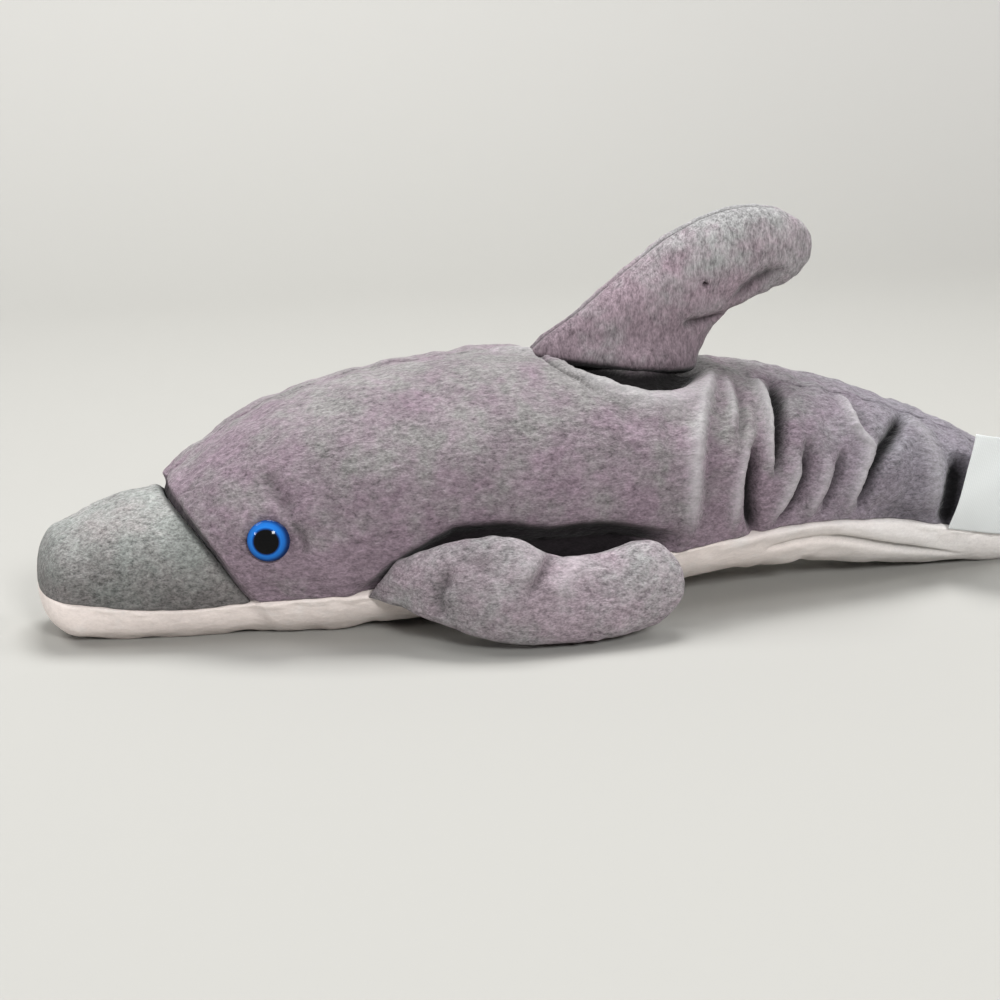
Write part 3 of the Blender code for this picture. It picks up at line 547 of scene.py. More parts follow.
def velour(name, dark, light, cool, warm, nap, tail=None, contrast=1.0, cool_above=58.0, relief=0.8,
           painted_light_ramp=(2, 0.0, 100.0, 1.0, 1.0)):
    """Short brushed polyester pile. Fibre streaks 0.5 mm wide and tufts of 1.3 mm lie along the nap,
    patches of 14 mm are brushed lighter or darker, and the colour drifts from a warm grey low down
    to a cool one above a height. Real fibres are 0.02 mm thick, too fine to show, so the streaks are
    drawn coarser. The fold attribute paints shade into folds and seams and a highlight onto rolls.
    The last argument, a painted light ramp, is an axis, two places on it in mm and the brightness at
    each: painted light and shade that makes the part lighter or darker along that axis."""
    made, tree, shader = new_surface(name)
    place = add(tree, "ShaderNodeTexCoord").outputs["Object"]
    pattern = {}
    for part, size, stretch, detail, roughness in (
            ("streaks", 0.48, nap, 3.0, 0.62), ("tufts", 1.25, nap, 2.0, 0.5),
            ("patches", 14.0, (1, 1, 1), 2.0, 0.5), ("tint", 16.0, (1, 1, 1), 3.5, 0.7)):
        scale = [1 / (size * n * MM) for n in stretch]
        spread = add(tree, "ShaderNodeMapping", {"Vector": place, "Scale": scale})
        noise = add(tree, "ShaderNodeTexNoise", {
            "Vector": spread.outputs[0], "Scale": 1.0, "Detail": detail, "Roughness": roughness})
        pattern[part] = noise.outputs["Fac"]
    brushing = 0.0
    for part, weight in (("streaks", 0.80), ("tufts", 0.60), ("patches", 0.28)):
        brushing = add(tree, "ShaderNodeMath", {0: pattern[part], 1: weight, 2: brushing},
                       operation="MULTIPLY_ADD").outputs[0]
    level = add(tree, "ShaderNodeMapRange", {
        "Value": brushing, "From Min": 0.84 - 0.26 / contrast, "From Max": 0.84 + 0.26 / contrast})
    ramp = add(tree, "ShaderNodeMix", {"Factor": level.outputs[0], 6: linear(dark), 7: linear(light)},
               data_type="RGBA")
    axes = add(tree, "ShaderNodeSeparateXYZ", {0: place})
    lower_down = add(tree, "ShaderNodeMapRange", {
        "Value": axes.outputs[2], "From Min": (cool_above - 30.0) * MM,
        "From Max": (cool_above + 30.0) * MM, "To Min": 0.15, "To Max": -0.15})
    hue_value = add(tree, "ShaderNodeMath", {0: pattern["tint"], 1: lower_down.outputs[0]}, operation="ADD")
    hue_level = add(tree, "ShaderNodeMapRange", {
        "Value": hue_value.outputs[0], "From Min": 0.36, "From Max": 0.64})
    towards_tail = add(tree, "ShaderNodeMapRange", {
        "Value": axes.outputs[0], "From Min": 20.0 * MM, "From Max": 75.0 * MM, "To Max": 0.75})
    drifted = add(tree, "ShaderNodeMix", {"Factor": hue_level.outputs[0], 6: linear(cool), 7: linear(warm)},
                  data_type="RGBA")
    hue = add(tree, "ShaderNodeMix", {
        "Factor": towards_tail.outputs[0], 6: drifted.outputs[2], 7: linear(tail or cool)},
        data_type="RGBA")
    coloured = add(tree, "ShaderNodeMix", {"Factor": 0.75, 6: ramp.outputs[2], 7: hue.outputs[2]},
                   data_type="RGBA", blend_type="COLOR")
    # Painted shade and highlight: the fold attribute darkens the colour in folds and seams down to 0.05 of
    # itself, and on rolls, below 0, mixes it towards the painted highlight grey
    in_fold = add(tree, "ShaderNodeAttribute", attribute_name="fold")
    shade = add(tree, "ShaderNodeMapRange", {
        "Value": in_fold.outputs["Fac"], "To Min": 1.0, "To Max": 0.05})
    roll_highlight = add(tree, "ShaderNodeMapRange", {
        "Value": in_fold.outputs["Fac"], "From Max": -1.0, "To Max": 0.45})
    # Painted light and shade: brightness ramped along one axis of the part
    axis, lift_start, lift_end, lift_low, lift_high = painted_light_ramp
    painted_light_level = add(tree, "ShaderNodeMapRange", {
        "Value": axes.outputs[axis], "From Min": lift_start * MM, "From Max": lift_end * MM,
        "To Min": lift_low, "To Max": lift_high})
    brightness = add(tree, "ShaderNodeMath", {0: shade.outputs[0], 1: painted_light_level.outputs[0]},
                     operation="MULTIPLY")
    lit = add(tree, "ShaderNodeMix", {
        "Factor": roll_highlight.outputs[0], 6: coloured.outputs[2], 7: linear(ROLL_HIGHLIGHT_GREY)}, data_type="RGBA")
    shaded = add(tree, "ShaderNodeMix", {"Factor": 1.0, 6: lit.outputs[2], 7: brightness.outputs[0]},
                 data_type="RGBA", blend_type="MULTIPLY")
    height = add(tree, "ShaderNodeMath", {0: pattern["streaks"], 1: 0.5, 2: pattern["tufts"]},
                 operation="MULTIPLY_ADD")
    bump = add(tree, "ShaderNodeBump", {
        "Height": height.outputs[0], "Strength": relief, "Distance": 0.6 * MM})
    tree.links.new(shaded.outputs[2], shader.inputs["Base Color"])
    tree.links.new(bump.outputs[0], shader.inputs["Normal"])
    shader.inputs["Roughness"].default_value = 0.92
    shader.inputs["Specular IOR Level"].default_value = 0.18
    shader.inputs["Sheen Weight"].default_value = 0.12
    shader.inputs["Sheen Roughness"].default_value = 0.45
    return made


NAP_BACK = (1.9, 1.0, 1.0)
grey_velour = velour("grey_velour", GREY_DARK, GREY_LIGHT, GREY_COOL, GREY_WARM, NAP_BACK, GREY_TAIL,
                     contrast=0.9)

# Where the eyes sit, and depth and reach of the dip round one, of the pit under it and of the collar
# that the pile makes at its rim
EYE_ALONG = 74.0
EYE_HEIGHT = 33.2
EYE_DIP = (0.9, 13.0)
EYE_PIT = (1.0, 4.8)
EYE_COLLAR = (0.55, 1.9)
COLLAR_RADIUS = 8.2


def eye_place(sign):
    """Centre of an eye on the smooth body and the direction it looks in."""
    along = np.array([[EYE_ALONG]])
    ring = ring_sizes(along)
    rise = (EYE_HEIGHT - ring["widest"]) / (ring["top"] - ring["widest"])
    angle = sign * np.arccos(rise ** (RING_POWER / 2))
    return bare_surface(along, angle)[0, 0], outward(along, angle)[0, 0]


def eye_dimple(points, sign):
    """The eye draws the head in: a wide bell-shaped dip, a flat-bottomed pit under the eye and a low
    collar round its rim, each a function of the distance from the eye's centre."""
    centre, _ = eye_place(sign)
    away = np.linalg.norm(points - centre, axis=-1)
    dip = -EYE_DIP[0] * np.exp(-(away / EYE_DIP[1]) ** 2)
    pit = -EYE_PIT[0] * np.exp(-(away / EYE_PIT[1]) ** 4)
    collar = EYE_COLLAR[0] * np.exp(-((away - COLLAR_RADIUS) / EYE_COLLAR[1]) ** 2)
    return dip + pit + collar


def body_panel(name, rows, low, high, sign, surface, seed, nap, grooves, arc_step=ROW_STEP,
               folds=BODY_FOLDS, start_pole=None, snout_edge=None, floor=0.0, pile=1.0,
               billow_cap=0.8):
    """A panel of the body between two seam angles. Its outer face is the smooth body moved out by
    the folds, lumps of fill, puckers at the seams and tufts, and it turns in at every seam."""
    steps = np.linspace(0.0, 1.0, 40)
    sample = low[:, None] + (high - low)[:, None] * steps
    ring = bare_surface(np.repeat(rows[:, None], len(steps), axis=1), sample)
    pieces = np.linalg.norm(np.diff(ring, axis=1), axis=-1)
    lengths = np.concatenate([np.zeros((len(rows), 1)), np.cumsum(pieces, axis=1)], axis=1)
    arc = lengths[:, -1]
    places = spaced(arc.max(), arc_step, SEAM_BAND, SEAM_STEP)
    share = places / arc.max()
    angle = np.stack([np.interp(share * a, line, s) for a, line, s in zip(arc, lengths, sample)])
    along = np.repeat(rows[:, None], len(share), axis=1)
    from_low = share[None, :] * arc[:, None]
    from_high = (1 - share)[None, :] * arc[:, None]
    base = bare_surface(along, angle)
    normal = outward(along, angle)
    rise, shade = fold_relief(base, folds)
    drop = groove(from_low, *grooves[0]) + groove(from_high, *grooves[1])
    if snout_edge is not None:
        from_snout = np.abs(along - SNOUT_SEAM) * SNOUT_SEAM_LEAN
        pulled = np.interp(base[..., 2], SNOUT_PULL_HEIGHTS, (0.35, 1.0))
        drop += pulled * groove(from_snout, *snout_edge)
        # Painted shade along the groove of the snout seam
        painted_seam_shade = 0.8 * pulled * np.exp(-(from_snout / 0.8) ** 2)
        shade = np.where(painted_seam_shade > 0.05, np.maximum(shade, painted_seam_shade), shade)
    edge = np.minimum(from_low, from_high)
    sheet_rows = every_sixth(len(rows))[2 if start_pole else 0:]
    lumps = billow(base, normal, sheet_rows, every_sixth(len(places)), billow_cap)
    lumps = lumps * np.clip(1.2 - np.abs(rise) / 2.5, 0.3, 1.0) + LUMPS[0] * ripple(base, LUMPS[1], seed)
    puckers = PUCKERS[0] * ripple(base, PUCKERS[1], seed + 5) * np.exp(-edge / PUCKER_REACH)
    fade = np.clip(edge / 2.0, 0.25, 1.0)
    if start_pole is not None:
        closing = np.clip(along / 9.0, 0.0, 1.0)
        drop, lumps, puckers, fade = drop * closing, lumps * closing, puckers * closing, fade * closing
    if sign:
        rise = rise + eye_dimple(base, sign)
    out = rise + lumps + puckers + pile * pile_relief(base, seed + 7, nap) * fade - drop
    outer = base + normal * out[..., None]
    inner = base + normal * (lowest_near(out, 6) - INNER_FACE)[..., None]
    outer[..., 2] = np.maximum(outer[..., 2], floor)
    inner[..., 2] = np.maximum(inner[..., 2], floor + INNER_FACE)
    under = outer[:, :1] - normal[:, :1] * SEAM_ALLOWANCE
    over = outer[:, -1:] - normal[:, -1:] * SEAM_ALLOWANCE
    outer = np.concatenate([under, outer, over], axis=1)
    under = inner[:, :1] - normal[:, :1] * 0.4
    over = inner[:, -1:] - normal[:, -1:] * 0.4
    inner = np.concatenate([under, inner, over], axis=1)
    shade = np.concatenate([shade[:, :1], shade, shade[:, -1:]], axis=1)
    if start_pole is not None:
        outer[0, :] = start_pole
        inner[0, :] = np.asarray(start_pole) + [FABRIC, 0.0, 0.0]
    return fabric_piece(name, outer, inner, surface, shade, start_pole is not None)


side_rows = SNOUT_SEAM + np.concatenate([
    np.arange(0.05, SEAM_BAND, 0.34), np.arange(SEAM_BAND, BODY_LENGTH - 1.5 - SNOUT_SEAM, ROW_STEP)])
side_left = body_panel("velour_side_left", side_rows, -seam_angle(side_rows), back_angle(side_rows),
                       -1, grey_velour, 11, NAP_BACK, (SIDE_GROOVE, BACK_GROOVE), snout_edge=HEAD_GROOVE)
side_right = body_panel("velour_side_right", side_rows, back_angle(side_rows), seam_angle(side_rows),
                        1, grey_velour, 31, NAP_BACK, (BACK_GROOVE, SIDE_GROOVE), snout_edge=HEAD_GROOVE)
for panel, node in ((side_left, "side_panel_left"), (side_right, "side_panel_right")):
    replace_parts(panel, node)


# Snout panel
# One piece of the same grey velour over the top of the snout, sewn to both side panels behind and
# to the belly panel along the mouth. Its pile is brushed forwards and looks cooler and greener.
snout_rows = np.concatenate([
    10.0 * (1 - np.cos(np.linspace(0.0, math.pi / 2, 26))), np.arange(10.5, SNOUT_SEAM - 3.0, 0.5),
    np.arange(SNOUT_SEAM - 3.0, SNOUT_SEAM, 0.33)])
NAP_SNOUT = (1.5, 1.0, 1.0)
# Painted light and shade: the snout's colour is darker low down and lighter on top
snout_velour = velour("snout_velour", "484847", "9e9e9a", "8a8e8b", "918b8b", NAP_SNOUT, cool_above=22.0,
                      contrast=0.95, painted_light_ramp=(2, 12.0, 36.0, 0.66, 1.22))
snout = body_panel("velour_snout", snout_rows, -seam_angle(snout_rows), seam_angle(snout_rows), 0,
                   snout_velour, 51, NAP_SNOUT, (SIDE_GROOVE, SIDE_GROOVE), arc_step=0.6, folds=[],
                   start_pole=(0.0, 0.0, SNOUT_TIP_HEIGHT + 0.1), snout_edge=SNOUT_GROOVE, billow_cap=0.5)
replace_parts(snout, "snout_panel")


# Belly panel
# One long piece of off-white velour from the lower jaw to the tail, sewn to the snout and to both
# side panels. It lies on the floor and is pressed flat there by the toy's weight.
BELLY_FOLDS = [
    (-2.4, 1.3, [(212, -31, 13), (219.3, -29.7, 17.1), (233, -29, 17.5), (243, -26.5, 16.5),
                 (252.7, -24.2, 14.2), (274.8, -18.6, 8.2), (290, -15, 4)]),
    (1.6, 3.2, [(196, -34, 19), (210, -33, 21.5), (226, -31, 23.5), (240, -28.5, 22.5), (256, -25, 18.5),
                (280, -20, 11.5)]),
    (-0.8, 2.2, [(10, -18, 6), (35, -24, 4), (70, -30, 4)]),
]
PALE_DARK = "d0c6c2"
PALE_LIGHT = "f4ece8"
belly_rows = np.concatenate([
    10.0 * (1 - np.cos(np.linspace(0.0, math.pi / 2, 22))), np.arange(10.7, BODY_LENGTH - 1.5, 0.8)])
pale_velour = velour("pale_velour", PALE_DARK, PALE_LIGHT, "dcdbd9", "e9ddd7", NAP_BACK, contrast=0.5,
                     relief=0.3)
belly = body_panel("velour_belly", belly_rows, seam_angle(belly_rows), 2 * math.pi - seam_angle(belly_rows),
                   0, pale_velour, 71, NAP_BACK, (SIDE_GROOVE, SIDE_GROOVE), arc_step=0.85,
                   folds=BELLY_FOLDS, start_pole=(0.0, 0.0, SNOUT_TIP_HEIGHT - 0.1), pile=0.35,
                   billow_cap=0.35)
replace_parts(belly, "belly_panel")


# Back fin
# A flat pocket of two grey velour panels, turned right side out, stuffed and sewn to the back over
# its narrow root. It leans to the near side, and its base bulges out over the seam below it.
FIN_LEAN = math.radians(7.0)
FIN_LEAN_HEIGHT = 72.0
FIN_FRONT = [
    (142, 68), (150.5, 79), (162.5, 87.8), (177, 100), (192.5, 111.4), (209, 118), (224, 118),
    (234.5, 112.5), (238, 105.5),
]
FIN_REAR = [
    (200, 63), (202.5, 73), (206, 80.5), (211.5, 86.5), (217.5, 89.5), (225, 92.5), (231, 95.3),
    (235.5, 99.3), (238, 105.5),
]
FIN_FILL = [(0.0, 3.5), (0.2, 6.5), (0.45, 7.5), (0.75, 5.5), (1.0, 0.0)]
NAP_UP = (1.0, 1.0, 2.6)
# A pocket's lumps of fill, and the wrinkles that its seam gathers
POCKET_BILLOW = 0.8
POCKET_LUMPS = (0.25, 22.0)
WRINKLE_RISE = 0.35
WRINKLE_LENGTH = 5.5
WRINKLE_REACH = 4.0


def curve_through(points, t):
    """A Catmull-Rom curve through the points, read at t from 0 to 1."""
    points = np.asarray(points, float)
    padded = np.vstack([2 * points[0] - points[1], points, 2 * points[-1] - points[-2]])
    place = np.clip(t, 0.0, 1.0) * (len(points) - 1)
    index = np.minimum(place.astype(int), len(points) - 2)
    f = (place - index)[..., None]
    p0, p1, p2, p3 = (padded[index + k] for k in range(4))
    bend = (2 * p0 - 5 * p1 + 4 * p2 - p3) * f ** 2 + (3 * p1 - p0 - 3 * p2 + p3) * f ** 3
    return 0.5 * (2 * p1 + (p2 - p0) * f + bend)


def body_distance(points):
    """Distance of points from the smooth body, below 0 inside it. The section through a point comes
    from its lean, and the distance from how far the superellipse has to grow to reach the point."""
    x, y, z = points[..., 0], points[..., 1], points[..., 2]
    along = x
    for _ in range(4):
        ring = ring_sizes(along)
        along = np.clip(x + ring["full"] * ring["slant"] * (z - ring["seam"]), 0.0, BODY_LENGTH)
    ring = ring_sizes(along)
    above = z > ring["widest"]
    power = np.where(above, RING_POWER, UNDER_POWER)
    reach = np.where(above, ring["top"] - ring["widest"], ring["widest"] - ring["bottom"])
    full = np.maximum(ring["full"], 1e-3)
    middle = ring["core"] + full * (ring["widest"] - ring["core"])
    up = np.abs(z - middle) / (reach * full)
    aside = np.abs(y) / (ring["half_width"] * full)
    size = np.maximum((up ** power + aside ** power) ** (1 / power), 1e-6)
    radius = np.hypot(y, z - middle)
    return radius * (1 - 1 / size)


def pocket_frame(front, rear, face, t, share):
    """Middle points of a flat pocket and the direction its face looks in. Both edges are curves
    read at t, and a point lies at its share of the straight line from the front to the rear."""
    ahead = curve_through(front, t)
    behind = curve_through(rear, t)
    middle = ahead + (behind - ahead) * share[..., None]
    near = 0.03
    inboard = np.clip(t, near, 1 - near)
    later = curve_through(front, inboard + near) + curve_through(rear, inboard + near)
    earlier = curve_through(front, inboard - near) + curve_through(rear, inboard - near)
    across = curve_through(rear, inboard) - curve_through(front, inboard)
    normal = unit(np.cross(across, later - earlier))
    normal *= np.sign(normal @ np.asarray(face, float))[..., None]
    return middle, normal, behind - ahead


def root_places(front, rear, face, share, depth=1.6):
    """The t of each column at which the pocket's middle goes into the body, by bisection."""
    low = np.zeros(share.shape)
    high = np.full(share.shape, 0.6)
    for _ in range(26):
        t = (low + high) / 2
        middle, _, _ = pocket_frame(front, rear, face, t, share)
        outside = body_distance(middle) > -depth
        high = np.where(outside, t, high)
        low = np.where(outside, low, t)
    return high


def pocket(names, front, rear, fill, face, row_count, column_count, surface, seed, nap, gathers=(),
           rooted=True, root_depth=1.6, flare=(0.0, 0.0), flare_reach=5.0, tucked=False, floor=None,
           fullness=2.3, fill_name=None):
    """Two fabric panels of a stuffed flat pocket and its fill. Half the thickness is the fill's
    profile times a superellipse across the chord, so the faces roll over into a drawn-in seam round
    the edge. Near the body it widens to the rear by its flare, and a tucked pocket rolls under
    there."""
    column = np.linspace(0.0, math.pi, column_count)
    share = 0.5 - 0.5 * np.cos(column)
    if rooted:
        rows = np.sin(np.linspace(0.0, math.pi / 2, row_count)) ** 0.9
        start = root_places(front, rear, face, share, root_depth)
        t = start[None, :] + (1 - start[None, :]) * rows[:, None]
        closing = np.clip((1 - t) / 0.10, 0.0, 1.0)
    else:
        rows = 0.5 - 0.5 * np.cos(np.linspace(0.0, math.pi, row_count))
        t = np.repeat(rows[:, None], column_count, axis=1)
        closing = np.clip(np.minimum(t, 1 - t) / 0.06, 0.0, 1.0)
    shares = np.repeat(share[None, :], row_count, axis=0)
    middle, normal, chord = pocket_frame(front, rear, face, t, shares)
    span = np.linalg.norm(chord, axis=-1)
    profile = (smooth_through(t, *zip(*fill)) + FABRIC) * np.sqrt(1 - (1 - closing) ** 2)
    tip = np.clip(1.0 - np.abs(2 * shares - 1) ** fullness, 0.0, 1.0) ** (1 / fullness)
    edge = np.minimum(shares, 1 - shares) * span
    wrinkle = ripple(middle, WRINKLE_LENGTH, seed) * np.exp(-(edge / WRINKLE_REACH) ** 2)
    wrinkle = wrinkle * np.clip(span / 14.0, 0.0, 1.0)
    room = np.clip(span / 9.0, 0.0, 1.0)
    to_centre = unit(chord) * np.sign(0.5 - shares)[..., None]
    root_height = body_distance(middle) if rooted else np.full(t.shape, 1e3)
    under = np.clip((root_height + 4.2) / 3.6, 0.0, 1.0) if tucked else np.ones(t.shape)
    under = np.sqrt(1 - (1 - under) ** 2)
    made = []
    fill_faces = []
    for number, (name, side) in enumerate(zip(names, (1, -1))):
        widened = flare[number] * np.exp(-(np.maximum(root_height, 0.0) / flare_reach) ** 2)
        widened = widened * np.clip((shares - 0.2) / 0.35, 0.0, 1.0)
        half = (profile * (0.4 + 0.6 * under) + widened * under) * tip
        base = middle + side * normal * half[..., None]
        sheet_rows = every_sixth(row_count)
        sheet_rows = sheet_rows[span[sheet_rows].mean(axis=1) > 7.0]
        lumps = billow(base, side * normal, sheet_rows, every_sixth(column_count), POCKET_BILLOW)
        lumps += POCKET_LUMPS[0] * ripple(base, POCKET_LUMPS[1], seed + 4 + number)
        rise, shade = fold_relief(base * [1.0, 0.0, 1.0], gathers if number == 0 else [])
        thick = np.clip(half / 2.0, 0.0, 1.0)
        tufts = pile_relief(base, seed + 6 + number, nap)
        out = half + (WRINKLE_RISE * wrinkle + lumps + rise + tufts) * thick
        out = np.maximum(out, 0.02)
        drawn = (0.7 * np.exp(-(half / 1.1) ** 2) - 0.22 * wrinkle) * room
        outer = middle + side * normal * out[..., None] + to_centre * drawn[..., None]
        inside = np.maximum(lowest_near(out, 5) - INNER_FACE * thick, 0.01)
        inner = middle + side * normal * inside[..., None] + to_centre * (drawn + 0.5 * room)[..., None]
        stuffed = np.maximum(lowest_near(out, 6) - 1.5 * FABRIC, 0.005)
        filled = middle + side * normal * stuffed[..., None] + to_centre * (2.0 * room)[..., None]
        filled[..., 2] = np.maximum(filled[..., 2], 1.5)
        fill_faces.append(filled)
        # Painted shade along the drawn-in seam round the pocket's edge, and for a tucked pocket on the part
        # that rolls under into the body
        painted_seam_shade = 0.5 * np.exp(-(half / 0.9) ** 2)
        if tucked:
            painted_seam_shade = np.maximum(painted_seam_shade, np.clip((-0.2 - root_height) / 1.6, 0.0, 1.0))
        shade = np.where(painted_seam_shade > 0.05, np.maximum(shade, painted_seam_shade), shade)
        if floor is not None:
            outer[..., 2] = np.maximum(outer[..., 2], floor)
            inner[..., 2] = np.maximum(inner[..., 2], floor + 0.5)
        direction = np.cross(outer[1:, :-1] - outer[:-1, :-1], outer[:-1, 1:] - outer[:-1, :-1])
        if (direction * normal[:-1, :-1]).sum() * side < 0:
            outer, inner, shade = outer[:, ::-1], inner[:, ::-1], shade[:, ::-1]
        made.append(fabric_piece(name, outer, inner, surface, shade))
    top, bottom = (grid[::6, ::6] for grid in fill_faces)
    direction = np.cross(top[1:, :-1] - top[:-1, :-1], top[:-1, 1:] - top[:-1, :-1])
    if (direction * normal[::6, ::6][:-1, :-1]).sum() < 0:
        top, bottom = top[:, ::-1], bottom[:, ::-1]
    closed = shell_faces(*top.shape[:2], np.arange(top.shape[0]), np.arange(top.shape[1]))
    points = np.concatenate([top.reshape(-1, 3), bottom.reshape(-1, 3)])
    made.append(make_piece(fill_name, points, closed, fibre_fill))
    return made


# Polyester fibre fill is a loose white wadding whose clumps, about 6 mm across, give it a soft
# cloudy surface.
fibre_fill, tree, shader = new_surface("polyester_fill")
place = add(tree, "ShaderNodeTexCoord").outputs["Object"]
clumps = add(tree, "ShaderNodeTexNoise", {
    "Vector": place, "Scale": 1 / (6.0 * MM), "Detail": 6.0, "Roughness": 0.7})
tone = add(tree, "ShaderNodeMix", {
    "Factor": clumps.outputs["Fac"], 6: linear("d8d6d0"), 7: linear("f6f5f1")}, data_type="RGBA")
relief = add(tree, "ShaderNodeBump", {
    "Height": clumps.outputs["Fac"], "Strength": 0.8, "Distance": 1.0 * MM})
tree.links.new(tone.outputs[2], shader.inputs["Base Color"])
tree.links.new(relief.outputs[0], shader.inputs["Normal"])
shader.inputs["Roughness"].default_value = 1.0


# Painted light and shade: the fin's colour is darker at its base and lighter towards its tip
fin_velour = velour("fin_velour", "5b565a", "aea8ab", "929392", "a08a95", NAP_UP, cool_above=102.0,
                    painted_light_ramp=(2, 72.0, 110.0, 0.70, 1.12))
fin_front = [(x, -math.tan(FIN_LEAN) * (z - FIN_LEAN_HEIGHT), z) for x, z in FIN_FRONT]
fin_rear = [(x, -math.tan(FIN_LEAN) * (z - FIN_LEAN_HEIGHT), z) for x, z in FIN_REAR]
FIN_GATHERS = [
    (-2.8, 1.5, [(193, 0, 84), (197, 0, 84.4), (201, 0, 84.7), (205, 0, 85), (209.5, 0, 85.5)]),
    (-2.8, 2.3, [(210, 0, 90), (214, 0, 93.4), (217.5, 0, 96), (221.5, 0, 98), (227, 0, 99.5)]),
    (1.0, 3.0, [(196, 0, 88), (203, 0, 88.5), (209, 0, 91)]),
    (-2.8, 0.9, [(199.7, 0, 95.7), (200.3, 0, 96.4), (200.8, 0, 97.0)]),
]
fin_panels = pocket(("velour_fin_left", "velour_fin_right"), fin_front, fin_rear, FIN_FILL, (0, -1, 0),
                    180, 110, fin_velour, 101, NAP_UP, gathers=FIN_GATHERS, root_depth=6.0,
                    flare=(6.5, 1.0), flare_reach=5.5, tucked=True, fill_name="fibre_fill_fin")
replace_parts(fin_panels.pop(), "dorsal_fin_stuffing")
for panel, node in zip(fin_panels, ("dorsal_fin_left", "dorsal_fin_right")):
    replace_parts(panel, node)


# Flippers
# Flat pockets of grey velour, lightly stuffed, sewn on low behind the head and laid back along the
# body. Each rests on the floor by its lower edge and stands a little off the body above.
FLIPPER_UPPER = [
    (90, 28, 21), (99, 37, 25.5), (108, 42.5, 30.5), (118, 46, 33), (130, 47.5, 32.6),
    (142, 48.2, 26.6), (156, 48, 26.4), (170.5, 47.5, 28.8), (178, 48, 23.6), (181.4, 48.6, 15.7),
]
FLIPPER_LOWER = [
    (89, 29, 13), (97, 39, 12.5), (107, 47.5, 9), (119, 52.5, 4.8), (131, 54.3, 2.2),
    (150, 54.8, 1.6), (163, 53.2, 2.4), (172.5, 51.3, 4.4), (178.6, 49.8, 9), (181.4, 48.6, 15.7),
]
FLIPPER_FILL = [(0.0, 1.5), (0.15, 2.6), (0.4, 4.8), (0.65, 4.6), (0.85, 3.4), (1.0, 0.0)]
FLIPPER_GATHERS = [
    (-2.2, 1.4, [(110.5, 0, 27), (109.3, 0, 22.3), (107.5, 0, 19.2), (107.2, 0, 15.9), (108.5, 0, 11)]),
    (-2.0, 1.6, [(146, 0, 31), (141, 0, 28.2), (138.3, 0, 25.5), (135, 0, 22.5), (131, 0, 17)]),
    (-0.9, 2.4, [(112, 0, 30), (118, 0, 27), (123, 0, 23)]),
    (1.1, 3.0, [(139, 0, 33), (135, 0, 28), (128, 0, 22)]),
    (1.1, 3.5, [(152, 0, 28), (145, 0, 23), (138, 0, 17)]),
    (-0.8, 3.0, [(158, 0, 27), (156, 0, 21), (150, 0, 14)]),
]
# Painted light: each flipper's colour grows lighter towards its rear tip
flipper_velour = velour("flipper_velour", "545053", "a39ca0", "949493", "9e8d96", NAP_BACK, cool_above=26.0,
                        painted_light_ramp=(0, -70.0, -15.0, 1.0, 1.32))
for side, sign in (("left", -1), ("right", 1)):
    upper = [(x, sign * y, z) for x, y, z in FLIPPER_UPPER]
    lower = [(x, sign * y, z) for x, y, z in FLIPPER_LOWER]
    names = (f"velour_flipper_{side}_top", f"velour_flipper_{side}_bottom")
    made = pocket(names, upper, lower, FLIPPER_FILL, (0, sign, 0.3), 150, 72, flipper_velour,
                  201 + 20 * sign, NAP_BACK, gathers=FLIPPER_GATHERS, floor=0.0,
                  fill_name=f"fibre_fill_flipper_{side}")
    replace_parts(made.pop(), f"flipper_stuffing_{side}")
    for panel, node in zip(made, (f"flipper_{side}_top", f"flipper_{side}_bottom")):
        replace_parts(panel, node)


# Flukes
# Both tail flukes are one flat pocket of grey velour with a notch behind, lightly stuffed and sewn
# over the end of the tail stock.
FLUKE_HEIGHT = 6.7
FLUKE_FRONT = [(38, 62), (29, 55.5), (15, 40), (2, 23), (-9, 9), (-13, 0)]
FLUKE_REAR = [(38, 62), (37, 51), (33.5, 34), (30, 18), (24, 6), (20, 0)]
FLUKE_FILL = [(0.0, 0.0), (0.12, 3.0), (0.32, 4.6), (0.5, 5.0), (0.68, 4.6), (0.88, 3.0), (1.0, 0.0)]


def both_flukes(half):
    """The whole edge from one tip to the other, mirrored from one half."""
    left = [(BODY_LENGTH + x, -y, FLUKE_HEIGHT) for x, y in half]
    return left + [(BODY_LENGTH + x, y, FLUKE_HEIGHT) for x, y in reversed(half[:-1])]


made = pocket(("velour_fluke_top", "velour_fluke_bottom"), both_flukes(FLUKE_FRONT),
              both_flukes(FLUKE_REAR), FLUKE_FILL, (0, 0, 1), 230, 64, grey_velour, 301, NAP_BACK,
              rooted=False, floor=0.0, fill_name="fibre_fill_flukes")
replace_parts(made.pop(), "fluke_stuffing")
for panel, node in zip(made, ("fluke_top", "fluke_bottom")):
    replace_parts(panel, node)


# Safety eyes
# A 12 mm moulded acrylic eye: a polished clear dome over a blue iris and a black pupil. Its shank
# goes through the fabric into a washer, which holds it down in a dimple.
EYE_RADIUS = 6.0
DOME_RADIUS = 8.45
EYE_RIM = 0.9
EYE_SEAT = 0.3
PUPIL_RADIUS = 3.55
IRIS_BLUE = "1c64b4"
# The rim, the flat back and the shank, as radius and distance along the axis
EYE_BACK = np.array([
    [6.08, 0.9], [6.0, 0.4], [5.9, -0.1], [5.4, -0.4], [2.0, -0.5], [2.0, -11.8], [1.6, -12.0],
    [0.0, -12.0]])


